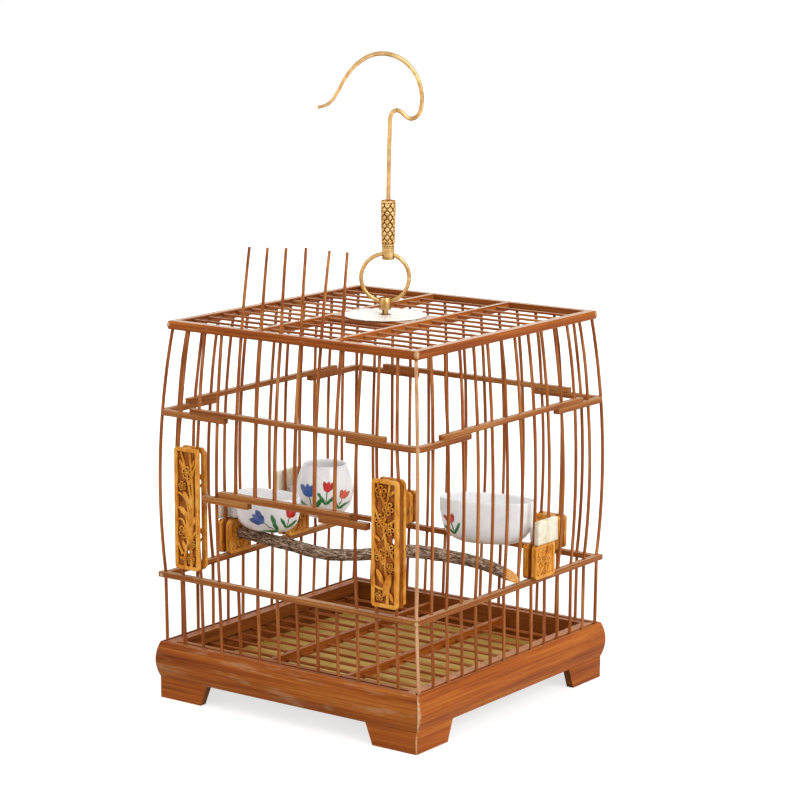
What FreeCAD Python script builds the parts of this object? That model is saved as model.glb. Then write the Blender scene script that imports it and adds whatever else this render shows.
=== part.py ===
import FreeCAD, Part
import math
import os
import re

import Sketcher
from FreeCAD import Placement, Rotation, Vector

# Driving dimensions of the cage, in millimetres, with counts and shares where the name says so
SIZES = {
    # Overall
    "width": 250.4,
    "depth": 259.4,
    "overrun": 2.0,
    # Bow of the bamboo walls: above the lower hoop all rods lie on one large arc, widest at bow_level
    "bow_level": 168.0,
    "bow_radius": 950.0,
    "line_inset": 3.95,
    # Below the lower hoop the rods run straight to their feet, set in by this much from the widest line
    "foot_step_width": 1.25,
    "foot_step_depth": 4.65,
    # Rods
    "rod_gap_count": 13.0,
    "rod_side_count": 6.0,
    "corner_side_count": 8.0,
    "rod_radius": 1.4,
    "guide_count": 3.0,
    # Feet
    "foot_height": 16.5,
    "foot_top_length": 46.5,
    "foot_bottom_length": 40.0,
    "foot_board": 6.0,
    "foot_inset": 2.8,
    # Base rails
    "rail_height": 28.8,
    "rail_board": 14.6,
    "rail_round": 3.0,
    "rod_socket": 8.0,
    "front_strip_height": 19.0,
    "front_strip_board": 8.8,
    # Tray
    "tray_front_board": 5.4,
    "tray_gap": 0.4,
    "tray_board_thickness": 3.0,
    "tray_lift": 0.2,
    "runner_height": 2.4,
    "runner_width": 6.0,
    # Floor grating
    "floor_rod_level": 34.6,
    "floor_rod_radius": 1.2,
    "floor_rod_socket": 3.0,
    "cross_bar_share": 0.3333,
    "floor_bar_width": 4.0,
    "floor_bar_below": 2.8,
    "floor_bar_above": 4.2,
    # Hoops
    "hoop_height": 5.0,
    "hoop_width": 5.6,
    "low_hoop_level": 95.8,
    "up_hoop_level": 223.9,
    "hoop_overshoot": 2.5,
    "corner_reach_share": 0.262,
    "bridge_start_share": 0.12,
    # Top frame
    "top_level": 290.3,
    "top_height": 6.5,
    "top_width": 7.0,
    "top_round": 0.8,
    "top_socket": 3.0,
    "top_rod_socket": 1.8,
    "top_rod_level": 294.6,
    "top_rod_radius": 1.05,
    "top_bar_width": 4.0,
    "top_board_depth": 44.0,
    # Sliding door
    "door_lift": 61.5,
    "door_rod_radius": 1.6,
    "door_tip_radius": 1.15,
    "door_tip_level": 361.0,
    "door_clearance": 0.35,
    "door_bar_start_share": 0.246,
    "door_end_start_share": 0.181,
    "door_end_stop_share": 0.362,
    # Carved front panels
    "panel_width": 23.6,
    "panel_shift": 1.6,
    "panel_height": 95.0,
    "panel_board": 3.0,
    "panel_level": 107.5,
    "panel_border": 3.4,
    "panel_corner": 3.0,
    "blossom_radius": 3.9,
    "bud_radius": 2.9,
    "twig_width": 1.5,
    "twig_board": 2.0,
    "plate_clearance": 0.1,
    "peg_width": 4.0,
    "peg_height": 2.2,
    "peg_inset": 0.6,
    # Carved clips
    "clip_width": 27.0,
    "clip_height": 27.0,
    "clip_board": 3.0,
    "clip_web": 12.0,
    "clip_corner": 2.6,
    "perch_clip_count": 4.5,
    "back_clip_count": 2.5,
    # Perch
    "perch_radius": 5.2,
    "perch_side_count": 9.0,
    "perch_rise": 11.0,
    # Cups
    "cup_side_count": 16.0,
    "cup_wall": 2.4,
    "lug_width": 28.0,
    "lug_height": 19.0,
    "lug_board": 5.0,
    "neck_width": 11.0,
    "neck_height": 13.0,
    "neck_root": 1.9,
    "lug_clearance": 0.6,
    "cup_seat_gap": 0.3,
    "round_cup_radius": 23.5,
    "round_cup_height": 44.0,
    "round_cup_level": 119.5,
    "round_cup_gap": 9.0,
    "round_lug_level": 135.0,
    "long_cup_length": 76.0,
    "long_cup_width": 37.0,
    "long_cup_height": 35.0,
    "long_cup_level": 124.5,
    "long_cup_turn": 18.0,
    "short_cup_length": 58.0,
    "short_cup_width": 36.0,
    "short_cup_height": 29.0,
    "short_cup_level": 122.5,
    "long_cup_gap": 4.5,
    "short_cup_gap": 4.5,
    "cup_blunt_share": 0.85,
    # Hanger
    "disc_radius": 31.0,
    "disc_thickness": 1.4,
    "lobe_depth": 1.8,
    "lobe_count": 16.0,
    "barrel_radius": 4.65,
    "barrel_height": 9.3,
    "shank_radius": 2.4,
    "shank_gap": 3.4,
    "shank_slot": 0.9,
    "shank_foot": 1.4,
    "hanger_side_count": 12.0,
    "turning_clearance": 0.05,
    "ring_radius": 18.65,
    "ring_wire": 1.35,
    "ring_side_count": 8.0,
    "ring_station_count": 24.0,
    "ring_sag": 0.3,
    "ferrule_sag": 0.66,
    "eye_clearance": 0.85,
    "eye_level_share": 0.66,
    "ferrule_radius": 4.7,
    "ferrule_height": 10.4,
    "ferrule_lip": 2.7,
    "sleeve_foot_radius": 4.9,
    "sleeve_waist_radius": 4.5,
    "sleeve_shoulder_radius": 5.1,
    "sleeve_head_radius": 5.5,
    "sleeve_height": 35.0,
    "sleeve_band": 2.2,
    "hook_wire": 1.4,
    "hook_seat": 7.0,
    "hook_stem": 63.5,
    "hook_kink_radius": 4.6,
    "hook_valley_radius": 6.2,
    "hook_bend_radius": 29.5,
    "hook_bend_offset": 6.1,
    "hook_bend_rise": 18.0,
    "hook_flare_radius": 15.0,
    "hook_flare_reach": 49.0,
    "hook_flare_rise": 3.5,
    "hook_offset": 2.2,
    "hook_turn": 36.0,
}

doc = FreeCAD.newDocument("BirdCage")
sheet = doc.addObject("Spreadsheet::Sheet", "Sizes")
for row, (alias, amount) in enumerate(SIZES.items(), start=1):
    sheet.set(f"A{row}", alias)
    sheet.set(f"B{row}", str(amount))
    sheet.setAlias(f"B{row}", alias)
doc.recompute()

parts = {}


# Reading and binding sizes
def formula(text):
    """A formula in plain size names, with each name tied to its cell."""
    return re.sub(
        r"[a-z][a-z0-9_]*", lambda word: f"Sizes.{word[0]}" if word[0] in SIZES else word[0], text
    )


def value(text):
    """What a formula in size names comes to."""
    return float(sheet.evalExpression(formula(text)))


def bind(thing, formulas):
    """Ties the properties of a piece to formulas in size names."""
    for prop, text in formulas.items():
        thing.setExpression(prop, formula(text))


def place(thing, x="0", y="0", z="0"):
    """Puts a piece at a place given as formulas."""
    bind(thing, {"Placement.Base.x": x, "Placement.Base.y": y, "Placement.Base.z": z})


def keep(thing, label):
    """Names a finished sub-part."""
    thing.Label = label
    parts[label] = thing
    return thing


# Places on the bowed walls
WALLS = ("front", "right", "back", "left")
TURN = {"front": 180, "right": -90, "back": 0, "left": 90}
ALONG = {"front": "width", "right": "depth", "back": "width", "left": "depth"}
ACROSS = {"front": "depth", "right": "width", "back": "depth", "left": "width"}

# Levels that several pieces share
BASE_TOP = "(foot_height + rail_height)"
ROD_FOOT = f"({BASE_TOP} - rod_socket)"
LOW_TOP = "(low_hoop_level + hoop_height)"
SPLIT = "(up_hoop_level + hoop_height)"
UP_TOP = "(up_hoop_level + 2*hoop_height)"
ROD_HEAD = "(top_level + top_socket)"
TOP_TOP = "(top_level + top_height)"
TOP_MIDDLE = "(top_level + top_height/2)"
BAR_LOW = f"({LOW_TOP} + door_lift)"
BAR_SPLIT = f"({BAR_LOW} + hoop_height)"
BAR_TOP = f"({BAR_SPLIT} + hoop_height)"
CLIP_TOP = f"({LOW_TOP} + clip_height)"

GAPS = int(SIZES["rod_gap_count"])
GUIDE = int(SIZES["guide_count"])
INNER = range(1, GAPS)
DOOR = range(GUIDE + 1, GAPS - GUIDE)


def bow(level):
    """How far in from the widest line the arc of the walls stands at a level."""
    return f"(bow_radius - sqrt(bow_radius^2 - ({level} - bow_level)^2))"


def line(overall, level):
    """How far from the middle the rods of a wall stand at a level: on the arc, or straight below the hoop."""
    if value(level) >= value(LOW_TOP):
        return f"({overall}/2 - line_inset - {bow(level)})"
    rise = f"(({level} - {BASE_TOP})/({LOW_TOP} - {BASE_TOP}))"
    return f"({overall}/2 - line_inset - foot_step_{overall} - ({bow(LOW_TOP)} - foot_step_{overall})*{rise})"


def on_wall(wall, along, across):
    """Global x and y of a place along a wall, left to right seen from outside, and out from the middle."""
    return {
        "front": (f"({along})", f"-({across})"),
        "right": (f"({across})", f"({along})"),
        "back": (f"-({along})", f"({across})"),
        "left": (f"-({across})", f"-({along})"),
    }[wall]


def fan(wall, index, level):
    """Where a rod of a fanned wall stands along it at a level."""
    return f"((2*{index}/rod_gap_count - 1)*{line(ALONG[wall], level)})"


def upright(index):
    """Where a rod of the door's bay stands along the front, the same at every level."""
    return f"((2*{index}/rod_gap_count - 1)*{line('width', 'bow_level')})"


def front_place(index, level):
    """Where a front rod stands: the outer ones share the space between corner rod and guide rod evenly."""
    if index < GUIDE:
        share = f"({index}/guide_count)"
        return f"((1 - {share})*{fan('front', 0, level)} + {share}*{upright('guide_count')})"
    if index > GAPS - GUIDE:
        share = f"((rod_gap_count - {index})/guide_count)"
        guide = upright("(rod_gap_count - guide_count)")
        return f"((1 - {share})*{line('width', level)} + {share}*{guide})"
    return upright(index)


def evenly(low, high, count):
    """Levels from low to high in equal steps."""
    return [f"({low} + {step}/{count}*({high} - {low}))" for step in range(count + 1)]


# Pieces that repeat
def box(x, y, z, length, width, height):
    """A block from its lowest corner."""
    block = doc.addObject("Part::Box", "Block")
    bind(block, {"Length": length, "Width": width, "Height": height})
    place(block, x, y, z)
    return block


def wall_box(wall, along_low, along_high, across_low, across_high, low, high):
    """A block in a wall, between two places along it, two distances from the middle and two levels."""
    along, across = f"{along_high} - {along_low}", f"{across_high} - {across_low}"
    block = box("0", "0", "0", along, across, f"{high} - {low}")
    block.Placement = Placement(Vector(), Rotation(Vector(0, 0, 1), TURN[wall]))
    x, y = on_wall(wall, along_high, across_low)
    place(block, x, y, low)
    return block


def compound(pieces, label=None):
    """Separate solids kept together."""
    group = doc.addObject("Part::Compound", "Group")
    group.Links = list(pieces)
    return keep(group, label) if label else group


def cut(base, tools, label=None):
    """A piece with holes in the shape of the tools."""
    result = doc.addObject("Part::Cut", "Drilled")
    result.Base = base
    result.Tool = tools
    return keep(result, label) if label else result


def common(first, second):
    """What two shapes share."""
    result = doc.addObject("Part::Common", "Trimmed")
    result.Base = first
    result.Tool = second
    return result


def fuse(pieces, label=None):
    """Pieces made as one."""
    result = doc.addObject("Part::MultiFuse", "Joined")
    result.Shapes = list(pieces)
    result.Refine = True
    return keep(result, label) if label else result


def faceted_rod(stations, turn=0, sides="rod_side_count"):
    """A split bamboo rod through (x, y, z, radius) stations, with level sections."""
    sections = []
    for x, y, z, radius in stations:
        section = doc.addObject("Part::RegularPolygon", "Section")
        section.Placement = Placement(Vector(), Rotation(Vector(0, 0, 1), turn))
        bind(section, {"Polygon": sides, "Circumradius": radius})
        place(section, x, y, z)
        sections.append(section)
    rod = doc.addObject("Part::Loft", "Rod")
    rod.Sections = sections
    rod.Solid = True
    rod.Ruled = True
    return rod


def wall_rod(wall, along, levels, radii=None):
    """A rod of a wall: along gives its place at a level. Its flats face in and out of the wall."""
    stations = []
    for step, level in enumerate(levels):
        x, y = on_wall(wall, along(level), line(ACROSS[wall], level))
        stations.append((x, y, level, radii[step] if radii else "rod_radius"))
    return faceted_rod(stations, 0 if wall in ("front", "back") else 90)


def level_rod(x, y, z, length, radius):
    """A straight rod along X."""
    rod = doc.addObject("Part::Prism", "LevelRod")
    rod.Placement = Placement(Vector(), Rotation(Vector(0, 1, 0), 90))
    bind(rod, {"Polygon": "rod_side_count", "Circumradius": radius, "Height": length})
    place(rod, x, y, z)
    return rod


def mitred_block(wall, inner, outer, low, high, ends=("mitre", "mitre"), slack="0"):
    """A bar of a frame between two distances from the middle; its ends are mitred, butted, long or square."""
    beside = f"({ALONG[wall]} - {ACROSS[wall]})/2 - {slack}"
    near, far = f"({inner} + {beside})", f"({outer} + {beside})"
    reach = {
        "mitre": (near, far),
        "butt": (near, near),
        "square": (far, far),
        "past": (f"({far} + hoop_overshoot)", f"({far} + hoop_overshoot)"),
    }
    minus, plus = reach[ends[0]], reach[ends[1]]
    block = doc.addObject("Part::Wedge", "Bar")
    block.Placement = Placement(Vector(), Rotation(Vector(0, 0, 1), TURN[wall]))
    bind(block, {"Xmin": f"-{minus[0]}", "Xmax": plus[0], "X2min": f"-{minus[1]}", "X2max": plus[1]})
    bind(block, {"Ymin": inner, "Ymax": outer, "Zmin": low, "Zmax": high, "Z2min": low, "Z2max": high})
    return block


def outline(body, vertices, arcs):
    """A closed sketch on the body's YZ plane through (y, z) vertices; arcs gives a rounded edge's radius."""
    plane = next(o for o in body.Origin.OriginFeatures if o.Role == "YZ_Plane")
    sketch = body.newObject("Sketcher::SketchObject", "Profile")
    sketch.AttachmentSupport = (plane, "")
    sketch.MapMode = "FlatFace"
    spots = [Vector(value(y), value(z), 0) for y, z in vertices]
    for edge, start in enumerate(spots):
        end = spots[(edge + 1) % len(spots)]
        if edge in arcs:
            radius = value(arcs[edge])
            chord = end - start
            rise = math.sqrt(radius**2 - (chord.Length / 2) ** 2)
            centre = (start + end) * 0.5 + Vector(-chord.y, chord.x, 0).normalize() * rise
            first = math.atan2(start.y - centre.y, start.x - centre.x)
            last = math.atan2(end.y - centre.y, end.x - centre.x)
            circle = Part.Circle(centre, Vector(0, 0, 1), radius)
            sketch.addGeometry(Part.ArcOfCircle(circle, first, last), False)
        else:
            sketch.addGeometry(Part.LineSegment(start, end), False)
    for edge in range(len(spots)):
        following = (edge + 1) % len(spots)
        sketch.addConstraint(Sketcher.Constraint("Coincident", edge, 2, following, 1))
    for edge, (y, z) in enumerate(vertices):
        for kind, text in (("DistanceX", y), ("DistanceY", z)):
            spot = sketch.addConstraint(Sketcher.Constraint(kind, -1, 1, edge, 1, value(text)))
            sketch.setExpression(f"Constraints[{spot}]", formula(text))
        if edge in arcs:
            spot = sketch.addConstraint(Sketcher.Constraint("Radius", edge, value(arcs[edge])))
            sketch.setExpression(f"Constraints[{spot}]", formula(arcs[edge]))
    return sketch


def profile_bar(wall, vertices, arcs, length):
    """A bar of one section, padded both ways from the middle of its wall."""
    body = doc.addObject("PartDesign::Body", "BarBody")
    pad = body.newObject("PartDesign::Pad", "Pad")
    pad.Profile = outline(body, vertices, arcs)
    pad.Midplane = True
    bind(pad, {"Length": length})
    body.Tip = pad
    body.Placement = Placement(Vector(), Rotation(Vector(0, 0, 1), TURN[wall]))
    return body


def bulge(height, rise):
    """Radius of an arc that stands out by rise over a chord."""
    return f"((({height})/2)^2 + {rise}^2)/(2*{rise})"


# Walls of upright rods, seated in the base and in the top frame
WALL_LEVELS = (ROD_FOOT, LOW_TOP, "bow_level", SPLIT, ROD_HEAD)
GUIDE_LEVELS = [ROD_FOOT] + evenly(LOW_TOP, SPLIT, 4) + [ROD_HEAD]


def fanned_wall(wall):
    """The inner rods of a wall without a door."""
    rods = [wall_rod(wall, lambda z, i=i: fan(wall, i, z), WALL_LEVELS) for i in INNER]
    return compound(rods, f"rods_{wall}")


wall_rods = {wall: fanned_wall(wall) for wall in ("right", "back", "left")}
outer_front = [
    wall_rod("front", lambda z, i=i: front_place(i, z), WALL_LEVELS)
    for i in INNER
    if i < GUIDE or i > GAPS - GUIDE
]
guides = [wall_rod("front", lambda z, i=i: upright(i), GUIDE_LEVELS) for i in (GUIDE, GAPS - GUIDE)]
sill_rods = [wall_rod("front", lambda z, i=i: upright(i), (ROD_FOOT, LOW_TOP)) for i in DOOR]
compound(outer_front + sill_rods, "rods_front")
compound(guides, "door_guide_rods")
wall_rods["front"] = compound(outer_front + guides + sill_rods)

corner_rods = [
    faceted_rod(
        [(f"{i}*{line('width', z)}", f"{j}*{line('depth', z)}", z, "rod_radius") for z in WALL_LEVELS],
        turn=22.5,
        sides="corner_side_count",
    )
    for i in (-1, 1)
    for j in (-1, 1)
]
corner_group = compound(corner_rods, "rods_corner")


# Base: rails with rounded faces, channelled for the rods and, at the sides, for the grating
def channel(wall, mouth, end):
    """Near and far edge of the channel that a wall's leaning rods stand in, between two levels."""
    places = sorted((line(ACROSS[wall], level) for level in (mouth, end)), key=value)
    return f"({places[0]} - rod_radius)", f"({places[1]} + rod_radius)"


def slot(face, depth, level, radius):
    """Corners of a slot in the inner face of a rail, that takes level rods."""
    top, low = f"({level} + {radius})", f"({level} - {radius})"
    return [(face, top), (f"({face} + {depth})", top), (f"({face} + {depth})", low), (face, low)]


TRAY_BACK = "(depth/2 - tray_front_board - tray_gap)"
tray_space = mitred_block("front", TRAY_BACK, "(depth/2 + overrun)", "0", f"({BASE_TOP} + overrun)")


def base_rail(wall):
    """A side or back rail of the base. The side rails stop behind the tray front."""
    outer = f"({ACROSS[wall]}/2)"
    face = f"({outer} - rail_round)"
    inner = f"({outer} - rail_board)"
    near, far = channel(wall, BASE_TOP, ROD_FOOT)
    vertices = [(inner, "foot_height"), (face, "foot_height"), (face, BASE_TOP), (far, BASE_TOP)]
    vertices += [(far, ROD_FOOT), (near, ROD_FOOT), (near, BASE_TOP), (inner, BASE_TOP)]
    if wall != "back":
        vertices += slot(inner, "floor_rod_socket", "floor_rod_level", "floor_rod_radius")
    bar = profile_bar(wall, vertices, {1: bulge("rail_height", "rail_round")}, f"{ALONG[wall]}")
    ends = {"back": ("mitre", "mitre"), "right": ("mitre", "square"), "left": ("square", "mitre")}[wall]
    trimmed = common(bar, mitred_block(wall, inner, outer, "foot_height", BASE_TOP, ends))
    if wall == "back":
        return keep(trimmed, "base_rail_back")
    return cut(trimmed, tray_space, f"base_rail_{wall}")


for wall in ("right", "back", "left"):
    base_rail(wall)

INNER_X = "(width/2 - rail_board)"
INNER_Y = "(depth/2 - rail_board)"
STRIP_BACK = f"({TRAY_BACK} - front_strip_board)"
STRIP_LOW = f"({BASE_TOP} - front_strip_height)"
near, far = channel("front", BASE_TOP, ROD_FOOT)
front_strip = profile_bar(
    "front",
    [(STRIP_BACK, STRIP_LOW), (TRAY_BACK, STRIP_LOW), (TRAY_BACK, BASE_TOP), (far, BASE_TOP)]
    + [(far, ROD_FOOT), (near, ROD_FOOT), (near, BASE_TOP), (STRIP_BACK, BASE_TOP)],
    {},
    f"2*{INNER_X}",
)
keep(front_strip, "base_strip_front")


# Feet: two slanted boards in an L under each corner
def foot(label, side_x, side_y, turn):
    """A bracket foot set in from the rounded faces of the rails."""
    tall, board = value("foot_height"), value("foot_board")
    low, top = value("foot_bottom_length"), value("foot_top_length")
    edge = [Vector(0, 0, 0), Vector(low, 0, 0), Vector(top, 0, tall), Vector(0, 0, tall), Vector(0, 0, 0)]
    first = Part.Face(Part.makePolygon(edge)).extrude(Vector(0, board, 0))
    second = first.mirror(Vector(), Vector(1, -1, 0))
    bracket = doc.addObject("Part::Feature", "Foot")
    bracket.Shape = first.fuse(second).removeSplitter()
    bracket.Placement = Placement(Vector(), Rotation(Vector(0, 0, 1), turn))
    place(bracket, f"{side_x}*(width/2 - foot_inset)", f"{side_y}*(depth/2 - foot_inset)")
    keep(bracket, label)


foot("foot_front_left", -1, -1, 0)
foot("foot_front_right", 1, -1, 90)
foot("foot_back_right", 1, 1, 180)
foot("foot_back_left", -1, 1, 270)

# Tray: a front that fills the front of the base, and a board that slides under the grating
FRONT_FACE = "(depth/2 - rail_round)"
FRONT_BACK = "(depth/2 - tray_front_board)"
tray_bar = profile_bar(
    "front",
    [
        (FRONT_BACK, "foot_height"),
        (FRONT_FACE, "foot_height"),
        (FRONT_FACE, BASE_TOP),
        (FRONT_BACK, BASE_TOP),
    ],
    {1: bulge("rail_height", "rail_round")},
    "width",
)
tray_ends = mitred_block("front", FRONT_BACK, "(depth/2)", "foot_height", BASE_TOP, slack="tray_gap")
keep(common(tray_bar, tray_ends), "tray_front")
RUNNER_TOP = "(foot_height + runner_height)"
BOARD_X = f"({INNER_X} - tray_gap)"
BOARD_BACK = f"({INNER_Y} - tray_gap)"
tray_board = box(
    f"-{BOARD_X}",
    f"-{FRONT_BACK}",
    f"{RUNNER_TOP} + tray_lift",
    f"2*{BOARD_X}",
    f"{FRONT_BACK} + {BOARD_BACK}",
    "tray_board_thickness",
)
keep(tray_board, "tray_board")
runners = [
    box(
        f"{side}*({INNER_X} - runner_width/2) - runner_width/2",
        f"-{STRIP_BACK}",
        "foot_height",
        "runner_width",
        f"{STRIP_BACK} + {INNER_Y}",
        "runner_height",
    )
    for side in (-1, 1)
]
compound(runners, "tray_runners")

# Floor grating: rods along X through two bars
SEAT_X = f"({INNER_X} + floor_rod_socket)"
floor_rods = [
    level_rod(
        f"-{SEAT_X}", f"(2*{i}/rod_gap_count - 1)*{INNER_Y}", "floor_rod_level",
        f"2*{SEAT_X}", "floor_rod_radius",
    )  # fmt: skip
    for i in INNER
]
floor_bars = [
    box(
        f"{side}*{INNER_X}*cross_bar_share - floor_bar_width/2",
        f"-{STRIP_BACK}",
        "floor_rod_level - floor_bar_below",
        "floor_bar_width",
        f"{STRIP_BACK} + {INNER_Y}",
        "floor_bar_below + floor_bar_above",
    )
    for side in (-1, 1)
]
cut(compound(floor_bars), compound(floor_rods, "floor_rods"), "floor_bars")


# Lower hoop: four strips drilled for the rods, two of them run past their corners
def hoop_faces(wall, middle):
    """Inner and outer face of a hoop strip, the rods in its middle."""
    return f"({line(ACROSS[wall], middle)} - hoop_width/2)", f"({line(ACROSS[wall], middle)} + hoop_width/2)"


LOW_ENDS = {
    "front": ("mitre", "past"),
    "right": ("past", "mitre"),
    "back": ("mitre", "butt"),
    "left": ("butt", "mitre"),
}
for wall in WALLS:
    inner, outer = hoop_faces(wall, LOW_TOP)
    strip = mitred_block(wall, inner, outer, "low_hoop_level", LOW_TOP, LOW_ENDS[wall])
    cut(strip, compound([wall_rods[wall], corner_group]), f"lower_hoop_{wall}")

# Sliding door: its rods pass through the upper hoop and the top rail, guide rods pass through its end strips
DOOR_STEPS = 5
DOOR_LEVELS = evenly(BAR_TOP, "door_tip_level", DOOR_STEPS)
DOOR_RADII = evenly("door_rod_radius", "door_tip_radius", DOOR_STEPS)
door_rods = []
for i in DOOR:
    start = BAR_LOW if i in (DOOR[0], DOOR[-1]) else BAR_SPLIT
    levels, radii = [start] + DOOR_LEVELS, ["door_rod_radius"] + DOOR_RADII
    door_rods.append(wall_rod("front", lambda z, i=i: upright(i), levels, radii))
door_group = compound(door_rods, "door_rods")
GUIDED = "(rod_radius + door_clearance)"
SLIDING = "(door_rod_radius + door_clearance)"
guide_levels = (f"({BAR_LOW} - overrun)", f"({BAR_SPLIT} + overrun)")
guide_holes = [
    wall_rod("front", lambda z, i=i: upright(i), guide_levels, [GUIDED] * 2) for i in (GUIDE, GAPS - GUIDE)
]
hole_levels = (
    f"({SPLIT} - overrun)",
    f"({UP_TOP} + overrun)",
    "(top_level - overrun)",
    f"({TOP_TOP} + overrun)",
)
door_holes = compound(
    [wall_rod("front", lambda z, i=i: upright(i), hole_levels, [SLIDING] * len(hole_levels)) for i in DOOR]
)


def share_along(wall, share, level):
    """A place along a wall as a share of its rods' span."""
    return f"((2*({share}) - 1)*{line(ALONG[wall], level)})"


inner, outer = hoop_faces("front", BAR_SPLIT)
door_ends = ("door_bar_start_share", "1 - door_bar_start_share")
door_span = [share_along("front", share, "bow_level") for share in door_ends]
door_bar = wall_box("front", *door_span, inner, outer, BAR_SPLIT, BAR_TOP)
cut(door_bar, door_group, "door_bar")
for label, low_share, high_share in (
    ("door_end_left", "door_end_start_share", "door_end_stop_share"),
    ("door_end_right", "1 - door_end_stop_share", "1 - door_end_start_share"),
):
    span = [share_along("front", share, "bow_level") for share in (low_share, high_share)]
    end_strip = wall_box("front", *span, inner, outer, BAR_LOW, BAR_SPLIT)
    cut(end_strip, compound([door_group] + guide_holes), label)

# Upper hoop: bent corner strips, and straight strips laid on them
UP_MIDDLE = "(up_hoop_level + hoop_height/2)"
for wall in WALLS:
    inner, outer = hoop_faces(wall, SPLIT)
    span = [share_along(wall, share, SPLIT) for share in ("bridge_start_share", "1 - bridge_start_share")]
    strip = wall_box(wall, *span, inner, outer, SPLIT, UP_TOP)
    tools = [wall_rods[wall]] + ([door_holes] if wall == "front" else [])
    cut(strip, compound(tools), f"upper_hoop_{wall}")


def corner_strip(left_wall, right_wall):
    """The strip bent round a corner, from the right end of one wall to the left end of the next."""
    arms = []
    for wall, at_right in ((left_wall, True), (right_wall, False)):
        inner, outer = hoop_faces(wall, UP_MIDDLE)
        beside = f"({line(ALONG[wall], UP_MIDDLE)} + hoop_width/2)"
        reach = share_along(wall, "1 - corner_reach_share", UP_MIDDLE)
        span = (reach, beside) if at_right else (f"(-{beside})", f"(-{reach})")
        arms.append(wall_box(wall, *span, inner, outer, "up_hoop_level", SPLIT))
    return fuse(arms)


corner_strips = compound([corner_strip(wall, WALLS[step - 3]) for step, wall in enumerate(WALLS)])
cut(corner_strips, compound(list(wall_rods.values()) + [corner_group]), "upper_hoop_corners")


# Top frame
def top_faces(wall):
    """Inner and outer face of a top rail, the rods in its middle."""
    middle = line(ACROSS[wall], TOP_MIDDLE)
    return f"({middle} - top_width/2)", f"({middle} + top_width/2)"


for wall in WALLS:
    inner, outer = top_faces(wall)
    near, far = channel(wall, "top_level", ROD_HEAD)
    face = f"({outer} - top_round)"
    vertices = [
        (inner, "top_level"),
        (near, "top_level"),
        (near, ROD_HEAD),
        (far, ROD_HEAD),
        (far, "top_level"),
    ]
    vertices += [(face, "top_level"), (face, TOP_TOP), (inner, TOP_TOP)]
    if wall in ("left", "right"):
        vertices += slot(inner, "top_rod_socket", "top_rod_level", "top_rod_radius")
    bar = profile_bar(wall, vertices, {5: bulge("top_height", "top_round")}, ALONG[wall])
    rail = common(bar, mitred_block(wall, inner, outer, "top_level", TOP_TOP))
    if wall == "front":
        cut(rail, door_holes, "top_rail_front")
    else:
        keep(rail, f"top_rail_{wall}")

TOP_X = top_faces("right")[0]
TOP_Y = top_faces("back")[0]
TOP_SEAT = f"({TOP_X} + top_rod_socket)"
top_rods = [
    level_rod(
        f"-{TOP_SEAT}", f"(2*{i}/rod_gap_count - 1)*{TOP_Y}", "top_rod_level",
        f"2*{TOP_SEAT}", "top_rod_radius",
    )  # fmt: skip
    for i in INNER
]
top_group = compound(top_rods, "top_rods")
top_bars = [
    box(
        f"{side}*{TOP_X}*cross_bar_share - top_bar_width/2",
        f"-{TOP_Y}",
        "top_level",
        "top_bar_width",
        f"2*{TOP_Y}",
        "top_height",
    )
    for side in (-1, 1)
]
cut(compound(top_bars), top_group, "top_bars")


# Hanger: a barrel that turns in the top board, a ring, a ferrule with its sleeve, and a hook
def prism(x, y, z, radius, height):
    """An upright bar with flat sides from its foot."""
    bar = doc.addObject("Part::Prism", "Faceted")
    bind(bar, {"Polygon": "hanger_side_count", "Circumradius": radius, "Height": height})
    place(bar, x, y, z)
    return bar


def eye(x, level):
    """A hole for the ring, along the ring's own direction, in the axis system of the hanger."""
    hole = doc.addObject("Part::Prism", "Eye")
    reach = "ring_wire + eye_clearance"
    bind(hole, {"Polygon": "hanger_side_count", "Circumradius": reach, "Height": "4*barrel_radius"})
    turn = Rotation(Vector(0, 0, 1), value("hook_turn")).multiply(Rotation(Vector(0, 1, 0), 90))
    hole.Placement = Placement(Vector(), turn)
    side = f"({x} - 2*barrel_radius)"
    place(hole, f"{side}*cos(hook_turn*1deg)", f"{side}*sin(hook_turn*1deg)", level)
    return hole


TOP_BOARD_X = f"({TOP_X}*cross_bar_share - top_bar_width/2)"
SHANK_HOLE = "((shank_radius + turning_clearance)/cos(180deg/hanger_side_count))"
board = box(
    f"-{TOP_BOARD_X}", "-top_board_depth/2", "top_level",
    f"2*{TOP_BOARD_X}", "top_board_depth", "top_height",
)  # fmt: skip
shank_hole = prism("0", "0", "top_level - overrun", SHANK_HOLE, "top_height + disc_thickness + 2*overrun")
cut(board, compound([shank_hole, top_group]), "top_board")

DISC_TOP = f"({TOP_TOP} + disc_thickness)"
lobes = int(SIZES["lobe_count"])
rim = []
for step in range(3 * lobes + 1):
    reach = value("disc_radius") - (value("lobe_depth") if step % 3 == 0 else 0)
    angle = 2 * math.pi * step / (3 * lobes)
    rim.append(Vector(reach * math.cos(angle), reach * math.sin(angle), 0))
disc = doc.addObject("Part::Feature", "Disc")
disc.Shape = Part.Face(Part.makePolygon(rim)).extrude(Vector(0, 0, value("disc_thickness")))
place(disc, z=TOP_TOP)
cut(disc, shank_hole, "rosette_disc")

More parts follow.
